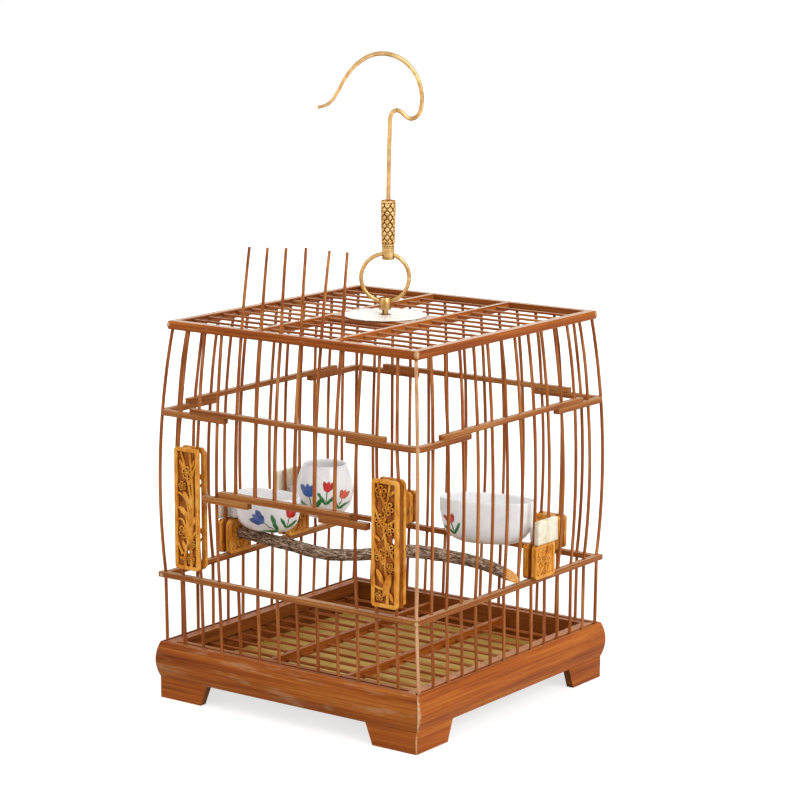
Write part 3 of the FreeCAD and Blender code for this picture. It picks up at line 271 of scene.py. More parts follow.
@dataclass(frozen=True)
class LacqueredBamboo:
    """Split bamboo under thin brown lacquer: long fibres, dark pores, pale wood where it has worn off, paler upper
    faces and eased edges that are partly wear and partly painted highlight, and painted shade on inner faces.

    Real fibres are about 0.3 mm across, too fine for the picture, so the streaks are drawn coarser.
    """

    name: str
    dark: str
    middle: str
    light: str
    grain: Grain
    streak_mm: float = 1.5
    streak_length_mm: float = 190.0
    pore_mm: float = 0.45
    pore_length_mm: float = 12.0
    patch_mm: float = 30.0
    roughness: float = 0.42
    gloss: float = 0.1
    depth_mm: float = 0.07
    # The pale colour of scuffs, also laid on upper faces and eased edges as wear and painted highlight
    worn: str = "#C9A17A"
    top_wear_and_sheen: float = 0.0
    edge_wear_and_sheen: float = 0.0
    # Painted shade on faces turned in towards the middle: its share, and its colour
    inner: float = 0.0
    inside: str = "#5A3212"
    scuff_from: float = 0.66
    scuff_mm: Pair = (2.6, 11.0)
    scuff_weight: float = 0.5
    raw: str = "#D8B488"
    raw_spots_mm: tuple[Triple, ...] = ()
    raw_reach_mm: float = 7.0
    raw_flat: float = 1.0

    def fibres(self, tree: Tree, across: float, along: float, detail: float, shift: Triple = NO_SHIFT) -> Socket:
        """Noise that is long with the grain.

        Args:
            tree: the node tree.
            across: its size across the grain in millimetres.
            along: its size along the grain in millimetres.
            detail: how many finer layers it has.
            shift: offset in pattern units.

        Returns:
            The noise's value output.
        """
        level = self.grain is Grain.ROUND
        sizes = tuple(along if axis == (0 if level else self.grain.value) else across for axis in range(3))
        return speckle(tree, sizes, detail, shift, level)

    def build(self) -> bpy.types.Material:
        """Builds the material.

        Returns:
            The finished material.
        """
        material, tree, shader = new_material(self.name)
        streaks = self.fibres(tree, self.streak_mm, self.streak_length_mm, 5.0)
        patches = self.fibres(tree, self.patch_mm * 0.25, self.patch_mm * 5.0, 3.0, (3.1, 1.7, 0.4))
        pores = self.fibres(tree, self.pore_mm, self.pore_length_mm, 2.0, (7.3, 2.9, 5.1))
        mixed = blend(tree, streaks, patches, 0.55)
        spread = 0.17
        colour = add_ramp(tree, mixed, [(0.5 - spread, self.dark), (0.5, self.middle), (0.5 + spread, self.light)])
        colour = mix_colour(tree, between(tree, pores, 0.44, 0.3, 0.0, 0.5), colour, linear(self.dark))
        colour = self.wear_and_painted_light(tree, colour, streaks)
        link(tree, colour, shader, "Base Color")
        rough = between(tree, patches, 0.0, 1.0, self.roughness - 0.05, self.roughness + 0.2)
        link(tree, rough, shader, "Roughness")
        shader.inputs["Specular IOR Level"].default_value = self.gloss
        relief = calculate(tree, "ADD", pores, calculate(tree, "MULTIPLY", streaks, 0.8))
        bump(tree, shader, relief, self.depth_mm)
        return material

    def wear_and_painted_light(self, tree: Tree, colour: Socket, streaks: Socket) -> Socket:
        """Pale scuffs, pale upper faces and eased edges that are partly bare wood and partly painted highlight, and
        painted shade on inner faces.

        Args:
            tree: the node tree.
            colour: the lacquer's colour output.
            streaks: the fibres' output.

        Returns:
            The colour's output, with the wear, the painted highlight and the painted shade.
        """
        spots = self.fibres(tree, *self.scuff_mm, 5.0, (1.3, 8.2, 4.4))
        worn = linear(self.worn)
        scuffs = between(tree, spots, self.scuff_from, self.scuff_from + 0.1, 0.0, self.scuff_weight)
        colour = mix_colour(tree, scuffs, colour, worn)
        nibbles = speckle(tree, (2.4, 2.4, 2.4), 3.0, (2.2, 0.7, 6.1))
        facing = add_node(tree, "NewGeometry").outputs["Normal"]
        place = add_node(tree, "TexCoord").outputs["Object"]
        # Painted shade: faces turned in towards the middle are darkened
        if self.inner:
            outward = add_node(tree, "VectorMath", {"operation": "DOT_PRODUCT"}, {0: facing, 1: place}).outputs["Value"]
            inner_face_shade = between(tree, outward, -0.02, -0.05, 0.0, self.inner)
            colour = mix_colour(tree, inner_face_shade, colour, linear(self.inside))
        up = add_node(tree, "SeparateXYZ", inputs={0: facing}).outputs["Z"]
        # Upper faces paler: partly bare worn wood, partly painted highlight
        bare = calculate(tree, "MULTIPLY", between(tree, up, 0.6, 0.9), between(tree, nibbles, 0.34, 0.6, 0.35, 1.0))
        colour = mix_colour(tree, calculate(tree, "MULTIPLY", bare, self.top_wear_and_sheen), colour, worn)
        # Eased upper edges paler: partly worn wood, partly a painted highlight line
        eased = calculate(tree, "MULTIPLY", between(tree, up, 0.45, 0.7), between(tree, up, 0.985, 0.9))
        colour = mix_colour(tree, calculate(tree, "MULTIPLY", eased, self.edge_wear_and_sheen), colour, worn)
        flat = (1.0, 1.0, self.raw_flat)
        squashed = add_node(tree, "VectorMath", {"operation": "MULTIPLY"}, {0: place, 1: flat}).outputs[0]
        for spot in self.raw_spots_mm:
            spot = tuple(v * MM * share for v, share in zip(spot, flat))
            away = add_node(tree, "VectorMath", {"operation": "DISTANCE"}, {0: squashed, 1: spot}).outputs["Value"]
            for uneven in (nibbles, streaks):
                away = calculate(tree, "ADD", away, calculate(tree, "MULTIPLY", uneven, self.raw_reach_mm * MM))
            reach = 1.75 * self.raw_reach_mm * MM
            colour = mix_colour(tree, between(tree, away, reach, reach * 0.8, 0.0, 0.85), colour, linear(self.raw))
        return colour


@dataclass(frozen=True)
class CarvedBoxwood:
    """Boxwood carved by hand and varnished amber: tool marks on the high spots, and painted shade in the hollows."""

    name: str = "carved_boxwood"
    dark: str = "#A0560E"
    middle: str = "#E0902C"
    light: str = "#F2B454"
    hollow_mm: float = 3.0
    roughness: float = 0.42
    gloss: float = 0.15
    depth_mm: float = 0.12

    def build(self) -> bpy.types.Material:
        """Builds the material.

        Returns:
            The finished material.
        """
        material, tree, shader = new_material(self.name)
        grain = speckle(tree, (1.4, 1.4, 11.0), 5.0)
        tool = speckle(tree, (0.9, 0.9, 0.9), 3.0, (4.0, 1.0, 2.0))
        blotch = speckle(tree, (7.0, 7.0, 9.0), 3.0, (0.4, 6.0, 3.0))
        mixed = blend(tree, grain, blotch, 0.5)
        colour = add_ramp(tree, mixed, [(0.34, self.dark), (0.47, self.middle), (0.62, self.light)])
        # Painted shade: hollows, by occlusion, are darkened towards the dark wood
        hollow = add_node(tree, "AmbientOcclusion", {"samples": 8}, {"Distance": self.hollow_mm * MM}).outputs["AO"]
        colour = mix_colour(tree, between(tree, hollow, 0.8, 0.3, 0.0, 0.85), colour, linear(self.dark))
        link(tree, colour, shader, "Base Color")
        surface(shader, self.roughness, self.gloss)
        bump(tree, shader, calculate(tree, "ADD", grain, tool), self.depth_mm)
        return material


@dataclass(frozen=True)
class PlainBoard:
    """A thin unlacquered plywood board, yellowish and dry. Its fine long grain is drawn coarser to show."""

    name: str = "tray_plywood"
    dark: str = "#A98436"
    middle: str = "#C8A24E"
    light: str = "#DDBE72"
    roughness: float = 0.62
    gloss: float = 0.2
    depth_mm: float = 0.06

    def build(self) -> bpy.types.Material:
        """Builds the material.

        Returns:
            The finished material.
        """
        material, tree, shader = new_material(self.name)
        grain = speckle(tree, (90.0, 3.0, 3.0), 6.0)
        stains = speckle(tree, (40.0, 40.0, 40.0), 4.0)
        colour = add_ramp(tree, grain, [(0.32, self.dark), (0.5, self.middle), (0.68, self.light)])
        colour = mix_colour(tree, between(tree, stains, 0.5, 0.75, 0.0, 0.35), colour, linear(self.dark))
        link(tree, colour, shader, "Base Color")
        surface(shader, self.roughness, self.gloss)
        bump(tree, shader, grain, self.depth_mm)
        return material


@dataclass(frozen=True)
class SatinBrass:
    """Drawn brass that has been handled: warm, with duller spots, and brush lines drawn coarser to show."""

    name: str = "satin_brass"
    bright: str = "#D9B278"
    dull: str = "#B48A52"
    tarnish: str = "#7A5428"
    # A dark tint of the reflection at grazing angles: painted shade at the brass's edges
    edge: str = "#6E4A28"
    groove_mm: float = 1.6
    roughness: float = 0.26
    depth_mm: float = 0.015

    def build(self) -> bpy.types.Material:
        """Builds the material.

        Returns:
            The finished material.
        """
        material, tree, shader = new_material(self.name)
        spots = speckle(tree, (5.0, 5.0, 8.0), 4.0)
        lines = speckle(tree, (0.5, 0.5, 8.0), 2.0)
        hollow = add_node(tree, "AmbientOcclusion", {"samples": 8}, {"Distance": self.groove_mm * MM}).outputs["AO"]
        colour = add_ramp(tree, spots, [(0.35, self.dull), (0.6, self.bright)])
        # Tarnish stays in the grooves that no hand reaches
        colour = mix_colour(tree, between(tree, hollow, 0.7, 0.2, 0.0, 0.7), colour, linear(self.tarnish))
        link(tree, colour, shader, "Base Color")
        link(tree, between(tree, spots, 0.0, 1.0, self.roughness + 0.12, self.roughness - 0.08), shader, "Roughness")
        shader.inputs["Metallic"].default_value = 1.0
        # Dark edge tint: painted shade along the brass's outlines, in its reflection
        shader.inputs["Specular Tint"].default_value = linear(self.edge)
        bump(tree, shader, lines, self.depth_mm)
        return material


@dataclass(frozen=True)
class Bark:
    """Thin bark of a fruit tree's branch: short pale ridges over dark brown cracks."""

    name: str = "branch_bark"
    dark: str = "#3A281C"
    middle: str = "#826650"
    light: str = "#D8C4AC"
    roughness: float = 0.86
    gloss: float = 0.15
    depth_mm: float = 0.6

    def build(self) -> bpy.types.Material:
        """Builds the material.

        Returns:
            The finished material.
        """
        material, tree, shader = new_material(self.name)
        ridges = speckle(tree, (5.5, 1.3, 1.3), 6.0)
        fine = speckle(tree, (2.2, 0.6, 0.6), 3.0, (5.0, 2.0, 1.0))
        mixed = blend(tree, ridges, fine, 0.6)
        colour = add_ramp(tree, mixed, [(0.4, self.dark), (0.5, self.middle), (0.6, self.light)])
        link(tree, colour, shader, "Base Color")
        surface(shader, self.roughness, self.gloss)
        bump(tree, shader, mixed, self.depth_mm)
        return material


@dataclass(frozen=True)
class CutWood:
    """Fresh end grain of the branch, pale orange with faint rings."""

    name: str = "branch_end"
    middle: str = "#E0A862"
    dark: str = "#B06A2A"
    roughness: float = 0.75
    gloss: float = 0.2
    depth_mm: float = 0.2

    def build(self) -> bpy.types.Material:
        """Builds the material.

        Returns:
            The finished material.
        """
        material, tree, shader = new_material(self.name)
        rings = speckle(tree, (2.6, 0.9, 0.9), 4.0)
        link(tree, add_ramp(tree, rings, [(0.4, self.dark), (0.55, self.middle)]), shader, "Base Color")
        surface(shader, self.roughness, self.gloss)
        bump(tree, shader, rings, self.depth_mm)
        return material


@dataclass(frozen=True)
class CreamResin:
    """Cast cream resin with a satin surface, mottled where it has yellowed."""

    name: str = "cream_resin"
    pale: str = "#F4ECD6"
    deep: str = "#DCC9A0"
    roughness: float = 0.45
    gloss: float = 0.35
    depth_mm: float = 0.1
    soft_mm: float = 1.5
    softness: float = 0.1

    def build(self) -> bpy.types.Material:
        """Builds the material.

        Returns:
            The finished material.
        """
        material, tree, shader = new_material(self.name)
        mottle = speckle(tree, (8.0, 8.0, 8.0), 4.0)
        link(tree, add_ramp(tree, mottle, [(0.3, self.deep), (0.55, self.pale)]), shader, "Base Color")
        surface(shader, self.roughness, self.gloss)
        shader.inputs["Subsurface Weight"].default_value = self.softness
        shader.inputs["Subsurface Scale"].default_value = self.soft_mm * MM
        bump(tree, shader, speckle(tree, (1.5, 1.5, 1.5), 2.0), self.depth_mm)
        return material


@dataclass(frozen=True)
class PearlDisc:
    """Disc cut from shell: milky white, with faint grey veins and a low gloss."""

    name: str = "pearl_disc"
    pale: str = "#F2EDE4"
    vein: str = "#D8CFC2"
    dust: str = "#8A7460"
    groove_mm: float = 2.5
    roughness: float = 0.3

    def build(self) -> bpy.types.Material:
        """Builds the material.

        Returns:
            The finished material.
        """
        material, tree, shader = new_material(self.name)
        veins = speckle(tree, (6.0, 6.0, 6.0), 6.0)
        colour = add_ramp(tree, veins, [(0.3, self.vein), (0.46, self.pale)])
        hollow = add_node(tree, "AmbientOcclusion", {"samples": 8}, {"Distance": self.groove_mm * MM}).outputs["AO"]
        colour = mix_colour(tree, between(tree, hollow, 0.7, 0.2, 0.0, 0.6), colour, linear(self.dust))
        link(tree, colour, shader, "Base Color")
        shader.inputs["Roughness"].default_value = self.roughness
        return material


@dataclass(frozen=True)
class Blossom:
    """One painted flower on a cup: places are in millimetres across the cup's face and up from its foot."""

    across: float
    height: float
    size: float
    colour: str
    lean: float = 0.0
    leaf: str = "#2F7F45"


@dataclass(frozen=True)
class PaintedPorcelain:
    """White porcelain under a clear glaze, with tulips painted by hand in blue, red and green."""

    name: str
    blossoms: tuple[Blossom, ...]
    body: str = "#FCFCFB"
    shade: str = "#F0F1F2"
    roughness: float = 0.14
    stem_mm: float = 0.45
    brush_wobble_mm: float = 2.2

    def petal(self, tree: Tree, where: Socket, centre: Pair, size: Pair, turn: float) -> Socket:
        """A soft-edged ellipse painted on the glaze.

        Args:
            tree: the node tree.
            where: UV coordinates in millimetres.
            centre: middle of the stroke.
            size: half its length and half its width.
            turn: its lean in degrees.

        Returns:
            The mask's output.
        """
        inputs = {
            "Vector": where,
            "Location": (centre[0], centre[1], 0.0),
            "Rotation": (0.0, 0.0, math.radians(turn)),
            "Scale": (size[1], size[0], 1.0),
        }
        placed = add_node(tree, "Mapping", {"vector_type": "TEXTURE"}, inputs).outputs[0]
        distance = add_node(tree, "VectorMath", {"operation": "LENGTH"}, {0: placed}).outputs["Value"]
        return between(tree, distance, 1.05, 0.85)

    def build(self) -> bpy.types.Material:
        """Builds the material.

        Returns:
            The finished material.
        """
        material, tree, shader = new_material(self.name)
        uv = add_node(tree, "UVMap").outputs[0]
        place = object_place(tree, (3.0, 3.0, 3.0))
        cloud = add_node(tree, "TexNoise", inputs={"Vector": place, "Scale": 1.0, "Detail": 3.0})
        centred = {0: cloud.outputs["Color"], 1: (0.5, 0.5, 0.5)}
        wobble = add_node(tree, "VectorMath", {"operation": "SUBTRACT"}, centred).outputs[0]
        reach = {0: wobble, 1: (self.brush_wobble_mm, self.brush_wobble_mm, 0.0)}
        wobble = add_node(tree, "VectorMath", {"operation": "MULTIPLY"}, reach).outputs[0]
        where = add_node(tree, "VectorMath", {"operation": "ADD"}, {0: uv, 1: wobble}).outputs[0]
        colour = add_ramp(tree, speckle(tree, (14.0, 14.0, 14.0)), [(0.35, self.shade), (0.6, self.body)])
        for blossom in self.blossoms:
            colour = self.flower(tree, where, colour, blossom)
        link(tree, colour, shader, "Base Color")
        shader.inputs["Roughness"].default_value = self.roughness
        return material

    def flower(self, tree: Tree, where: Socket, colour: Socket, blossom: Blossom) -> Socket:
        """Paints one tulip: two leaves, a stem and three petals.

        Args:
            tree: the node tree.
            where: UV coordinates in millimetres.
            colour: the colour below it.
            blossom: the flower.

        Returns:
            The colour with the flower on it.
        """
        lean, size = math.radians(blossom.lean), blossom.size
        up, side = (-math.sin(lean), math.cos(lean)), (math.cos(lean), math.sin(lean))

        def spot(rise: float, aside: float) -> Pair:
            """A place up the flower and beside its stem, as shares of its size."""
            along, across = rise * size, aside * size
            return blossom.across + up[0] * along + side[0] * across, blossom.height + up[1] * along + side[1] * across

        for aside in (-1, 1):
            leaf_size, leaf_turn = (size * 0.85, size * 0.2), blossom.lean - aside * 40
            leaf = self.petal(tree, where, spot(-1.25, aside * 0.5), leaf_size, leaf_turn)
            colour = mix_colour(tree, leaf, colour, linear(blossom.leaf))
        stem = self.petal(tree, where, spot(-0.9, 0.0), (size * 0.9, self.stem_mm), blossom.lean)
        colour = mix_colour(tree, stem, colour, linear(blossom.leaf))
        for turn in (-22, 22, 0):
            petal_size, petal_turn = (size * 0.6, size * 0.27), blossom.lean + turn
            petal = self.petal(tree, where, spot(0.1, -turn / 70), petal_size, petal_turn)
            tint = tuple(c * (0.75 if turn else 1.15) for c in linear(blossom.colour)[:3]) + (1.0,)
            colour = mix_colour(tree, petal, colour, tint)
        return colour


class Palette:
    """Every finish of the cage, each built once and kept by name."""

    def __init__(self) -> None:
        """Builds the finishes."""
        rods = {"dark": "#6A3012", "middle": "#A05828", "light": "#CC8C50"}
        strips = {"dark": "#6E3614", "middle": "#9C5A28", "light": "#C48C50"}
        boards = {"dark": "#6C2C08", "middle": "#A0521A", "light": "#C67832"}
        hoop_spots = ((121.0, -126.0, 98.3), (-121.0, -125.0, 98.3), (121.0, -125.0, 226.4), (-121.0, -125.0, 226.4))
        top_spots = ((116.0, -120.5, 294.5), (-116.0, -120.5, 294.5), (116.0, 120.5, 294.5))
        self.made: dict[str, bpy.types.Material] = {}
        # Hoops: paler upper faces, partly wear and partly painted highlight
        hoop = {"top_wear_and_sheen": 0.8, "raw_spots_mm": hoop_spots, "raw_reach_mm": 3.0}
        # Top boards: a pale worn colour that also paints highlights on upper faces and edges, and painted shade on
        # inner faces
        top = {"worn": "#E6CFB6", "top_wear_and_sheen": 0.8, "edge_wear_and_sheen": 0.9, "inner": 0.35}
        top |= {"raw_spots_mm": top_spots, "raw_reach_mm": 4.0}
        # Rails: paler upper faces and edges, partly wear and partly painted highlight, and painted shade on inner faces
        rail = {"top_wear_and_sheen": 0.22, "edge_wear_and_sheen": 0.8, "inner": 0.6}
        kinds = (
            ("rod", rods | {"patch_mm": 18.0}, (Grain.ALONG_X, Grain.ALONG_Z)),
            ("hoop", strips | hoop, (Grain.ALONG_X, Grain.ALONG_Y, Grain.ROUND)),
            ("top", boards | top, (Grain.ALONG_X, Grain.ALONG_Y)),
            ("rail", boards | rail, (Grain.ALONG_X, Grain.ALONG_Y)),
        )
        for kind, looks, grains in kinds:
            for grain in grains:
                self.keep(LacqueredBamboo(f"bamboo_{kind}_{grain.name.lower()}", grain=grain, **looks))
        # Top rods: paler upper faces in a pale worn colour, partly a painted highlight line
        top_rod = {"worn": "#E6CFB6", "top_wear_and_sheen": 0.5, "patch_mm": 18.0}
        self.keep(LacqueredBamboo("bamboo_top_rod", **rods, grain=Grain.ALONG_X, **top_rod))
        corner = {"raw_spots_mm": ((122.4, -127.0, 8.0),), "raw_reach_mm": 1.3, "raw_flat": 0.1}
        feet = {"dark": "#7A360C", "middle": "#AC5A20", "light": "#D08038"}
        # Feet: painted shade on inner faces
        self.keep(LacqueredBamboo("bamboo_foot", **feet, grain=Grain.ROUND, inner=0.6, **corner))
        # The bare-ended rail: paler upper faces and edges, partly painted highlight, and painted shade on inner faces
        bare = {"grain": Grain.ALONG_Y, "top_wear_and_sheen": 0.6, "edge_wear_and_sheen": 0.9, "inner": 0.6}
        bare |= {"raw_spots_mm": ((124.5, -131.0, 31.0),), "raw_reach_mm": 8.5, "raw_flat": 0.25}
        self.keep(LacqueredBamboo("bamboo_rail_bare_end", "#74320A", "#AE5A1E", "#D08034", **bare))
        # Tray front: scuffs, and paler eased edges that are partly painted highlight
        front = {"grain": Grain.ALONG_X, "edge_wear_and_sheen": 0.9, "scuff_from": 0.54, "scuff_mm": (6.0, 40.0)}
        front |= {"scuff_weight": 0.3}
        self.keep(LacqueredBamboo("bamboo_tray_front", **boards, **front))
        pale = {"dark": "#A0683C", "middle": "#CC966A", "light": "#E4BC98"}
        self.keep(LacqueredBamboo("bamboo_pale_rod", **pale, grain=Grain.ALONG_Z, patch_mm=18.0))
        # A darker copy of the boxwood for the sunk ground behind the openwork: painted shade
        self.keep(CarvedBoxwood("carved_hollows", "#6A340A", "#9E5416", "#C07226"))
        for finish in (CarvedBoxwood(), PlainBoard(), SatinBrass(), Bark(), CutWood(), CreamResin(), PearlDisc()):
            self.keep(finish)
        red, blue, coral = "#C8281E", "#3C5FA8", "#D85A34"
        jar = (Blossom(-12.5, 24.0, 9.5, blue, 10), Blossom(3.0, 28.0, 7.5, red, -8))
        jar += (Blossom(15.5, 21.0, 6.5, coral, -24),)
        boat = (Blossom(-29.0, 19.0, 6.5, red, 20),)
        bowl = (Blossom(-6.0, 12.0, 9.5, blue, 58), Blossom(19.0, 17.0, 6.5, red, -16))
        for name, blossoms in (("round_cup", jar), ("long_cup", boat), ("short_cup", bowl)):
            self.keep(PaintedPorcelain(f"porcelain_{name}", blossoms))

    def keep(self, finish: Finish) -> None:
        """Builds a finish and keeps it by its name."""
        self.made[finish.name] = finish.build()

    def dress(self, piece: Piece, *names: str) -> None:
        """Gives a piece its finishes, one per material slot.

        Args:
            piece: the mesh object.
            names: finish names in slot order.
        """
        piece.data.materials.clear()
        for name in names:
            piece.data.materials.append(self.made[name])


# Modelling helpers
def start_clean() -> None:
    """Leaves edit mode and deselects everything."""
    if bpy.context.object and bpy.context.object.mode != "OBJECT":
        bpy.ops.object.mode_set(mode="OBJECT")
    bpy.ops.object.select_all(action="DESELECT")


def pick(piece: Piece) -> None:
    """Makes a piece the only selected one, and active.

    Args:
        piece: the object.
    """
    start_clean()
    piece.select_set(True)
    bpy.context.view_layer.objects.active = piece


def edit(piece: Piece) -> None:
    """Opens a piece in edit mode with all of it selected.

    Args:
        piece: the mesh object.
    """
    pick(piece)
    bpy.ops.object.mode_set(mode="EDIT")
    bpy.ops.mesh.select_all(action="SELECT")


def settle(piece: Piece, name: str) -> Piece:
    """Names a piece and puts its place, turn and size into its mesh.

    Args:
        piece: the mesh object.
        name: its new name.

    Returns:
        The same object.
    """
    pick(piece)
    piece.name = name
    piece.data.name = name
    bpy.ops.object.transform_apply(location=True, rotation=True, scale=True)
    return piece


def add_modifier(piece: Piece, kind: str, **settings: object) -> None:
    """Adds a modifier to a piece and applies it.

    Args:
        piece: the mesh object.
        kind: the modifier's type.
        settings: its attribute values.
    """
    pick(piece)
    modifier = piece.modifiers.new(kind.lower(), kind)
    for name, value in settings.items():
        setattr(modifier, name, value)
    bpy.ops.object.modifier_apply(modifier=modifier.name)


def smooth(piece: Piece, degrees: float) -> None:
    """Shades a piece smooth, sharp at edges above an angle."""
    pick(piece)
    bpy.ops.object.shade_smooth_by_angle(angle=math.radians(degrees))


def join(pieces: list[Piece], name: str) -> Piece:
    """Joins mesh objects into one.

    Args:
        pieces: the objects.
        name: the joined object's name.

    Returns:
        The joined object.
    """
    start_clean()
    for piece in pieces:
        piece.select_set(True)
    bpy.context.view_layer.objects.active = pieces[0]
    if len(pieces) > 1:
        bpy.ops.object.join()
    return settle(bpy.context.view_layer.objects.active, name)


def copy_of(piece: Piece, place: Matrix) -> Piece:
    """A copy of a piece with its own mesh, moved by a matrix.

    Args:
        piece: the mesh object.
        place: the matrix.

    Returns:
        The copy.
    """
    twin = piece.copy()
    twin.data = piece.data.copy()
    twin.matrix_world = place @ piece.matrix_world
    bpy.context.scene.collection.objects.link(twin)
    return twin


def drop(piece: Piece) -> None:
    """Removes a pattern piece once its copies are made."""
    bpy.data.objects.remove(piece, do_unlink=True)


def shape(piece: Piece, move: Callable[[Vector], Vector]) -> None:
    """Moves each vertex of a piece by a function of its place.

    Args:
        piece: the mesh object.
        move: gives the new place of a vertex.
    """
    for vertex in piece.data.vertices:
        vertex.co = move(vertex.co.copy())
    piece.data.update()


def wire(points: list[Vector], radii: list[float], sides: int, closed: bool = False, curved: bool = False) -> Piece:
    """A round bar along points, made as a bevelled curve and turned to a mesh.

    Args:
        points: the middle line.
        radii: the radius at each point.
        sides: faces round the bar, a multiple of 4.
        closed: whether the last point joins the first.
        curved: whether the line is a smooth curve with the points as its control points.

    Returns:
        The mesh object.
    """
    curve = bpy.data.curves.new("bar", "CURVE")
    curve.dimensions = "3D"
    curve.bevel_depth = 1.0
    curve.bevel_resolution = max(sides // 2 - 2, 0)
    curve.use_fill_caps = not closed
    spline = curve.splines.new("NURBS" if curved else "POLY")
    spline.points.add(len(points) - 1)
    for spot, place, radius in zip(spline.points, points, radii):
        spot.co = (*place, 1.0)
        spot.radius = radius
    spline.use_cyclic_u = closed
    if curved:
        spline.order_u = 3
        spline.use_endpoint_u = not closed
        spline.resolution_u = 5
    bar = bpy.data.objects.new("bar", curve)
    bpy.context.scene.collection.objects.link(bar)
    pick(bar)
    bpy.ops.object.convert(target="MESH")
    return bpy.context.view_layer.objects.active


def block(name: str, size: Vector, middle: Vector) -> Piece:
    """A cuboid with sharp edges, to be eased or cut with.

    Args:
        name: its name.
        size: its size along X, Y and Z.
        middle: its middle.

    Returns:
        The mesh object.
    """
    start_clean()
    bpy.ops.mesh.primitive_cube_add(size=1.0, location=middle)
    bpy.context.object.scale = size
    return settle(bpy.context.object, name)


def turned(profile: list[Pair], sides: int) -> Piece:
    """A closed turned piece about Z: a filled disc, extruded and scaled ring by ring.

    Args:
        profile: radius and height of each ring, from the foot's rim on.
        sides: faces round it.

    Returns:
        The mesh object.
    """
    start_clean()
    radius, level = profile[0]
    bpy.ops.mesh.primitive_circle_add(vertices=sides, radius=radius, fill_type="NGON", location=(0.0, 0.0, level))
    piece = settle(bpy.context.object, "turned")
    edit(piece)
    bpy.ops.mesh.select_mode(type="FACE")
    for reach, height in profile[1:]:
        move = {"value": (0.0, 0.0, height - level)}
        bpy.ops.mesh.extrude_region_move(TRANSFORM_OT_translate=move)
        share = reach / radius
        bpy.ops.transform.resize(value=(share, share, 1.0))
        radius, level = reach, height
    bpy.ops.mesh.select_all(action="SELECT")
    bpy.ops.mesh.normals_make_consistent(inside=False)
    bpy.ops.object.mode_set(mode="OBJECT")
    return piece


@dataclass(frozen=True)
class Bow:
    """The large arc that the rods of all walls follow above the lower hoop, and the straight lines below it."""

    width: float = 0.2504
    depth: float = 0.2594
    radius: float = 0.950
    level: float = 0.168
    inset: float = 3.95 * MM
    base_top: float = 45.3 * MM
    hoop_top: float = 100.8 * MM
    upper_hoop: Pair = (223.9 * MM, 233.9 * MM)
    top: float = 290.3 * MM
    step_width: float = 1.25 * MM
    step_depth: float = 4.65 * MM
    spacing: float = 14 * MM
    gaps: int = 13
    guide: int = 3

    def sag(self, level: float) -> float:
        """How far in from the widest line the arc stands at a level."""
        return self.radius - math.sqrt(self.radius**2 - (level - self.level) ** 2)

    def line(self, overall: float, level: float) -> float:
        """How far from the middle the rods stand at a level.

        Args:
            overall: the base's width or depth.
            level: height above the table.

        Returns:
            The distance from the cage's middle plane.
        """
        if level >= self.hoop_top:
            return overall / 2 - self.inset - self.sag(level)
        step = self.step_width if overall == self.width else self.step_depth
        rise = (level - self.base_top) / (self.hoop_top - self.base_top)
        return overall / 2 - self.inset - step - (self.sag(self.hoop_top) - step) * rise

    def extents(self, wall: Wall) -> Pair:
        """The overall size along and across a wall."""
        return (self.width, self.depth) if wall in (Wall.FRONT, Wall.BACK) else (self.depth, self.width)

    def wave(self, level: float, low: float, high: float) -> float:
        """Half a wave between two levels: 1 midway, 0 at both and beyond them."""
        return math.sin(math.pi * min(max((level - low) / (high - low), 0.0), 1.0))

    def spot(self, wall: Wall, along: float, across: float, level: float) -> Vector:
        """A point by its place along a wall, seen from inside, and its distance out."""
        return Matrix.Rotation(math.radians(wall.value), 3, "Z") @ Vector((along, across, level))

    def fan(self, wall: Wall, index: float, level: float) -> float:
        """Where a rod of a fanned wall stands along it."""
        return (2 * index / self.gaps - 1) * self.line(self.extents(wall)[0], level)

    def upright(self, index: float) -> float:
        """Where a rod of the door's bay stands along the front."""
        return (2 * index / self.gaps - 1) * self.line(self.width, self.level)

    def front_place(self, index: int, level: float) -> float:
        """Where a front rod stands: the outer ones share the space beside the guide rods.

        Args:
            index: the rod's number.
            level: height above the table.

        Returns:
            Its place along the front.
        """
        if index < self.guide:
            share = index / self.guide
            return (share - 1) * self.line(self.width, level) + share * self.upright(self.guide)
        if index > self.gaps - self.guide:
            return -self.front_place(self.gaps - index, level)
        return self.upright(index)

    def levels(self, low: float, high: float) -> list[float]:
        """Levels from low to high, with one at each bend of the rods.

        Args:
            low: the first level.
            high: the last level.

        Returns:
            The levels.
        """
        stops = [low, *(v for v in (self.base_top, self.hoop_top) if low < v < high), high]
        out = [low]
        for start, end in zip(stops, stops[1:]):
            count = max(1, round((end - start) / self.spacing))
            out += [start + (end - start) * k / count for k in range(1, count + 1)]
        return out


# Splints pushed aside by the carved plates, in millimetres along the front at the plates' middle
PUSHED_ASIDE = {12: -1.7, 11: -0.5, 2: 1.5, 1: 3.0}
# Tips of the door's rods: how far each is lower than the longest, and how far it has sprung left, left to right
TIP_DROPS = (4.0, 3.2, 2.1, 0.5, 1.0, 0.8)
TIP_LEANS = (0.3, 2.0, 3.4, 3.7, 0.8, 3.2)


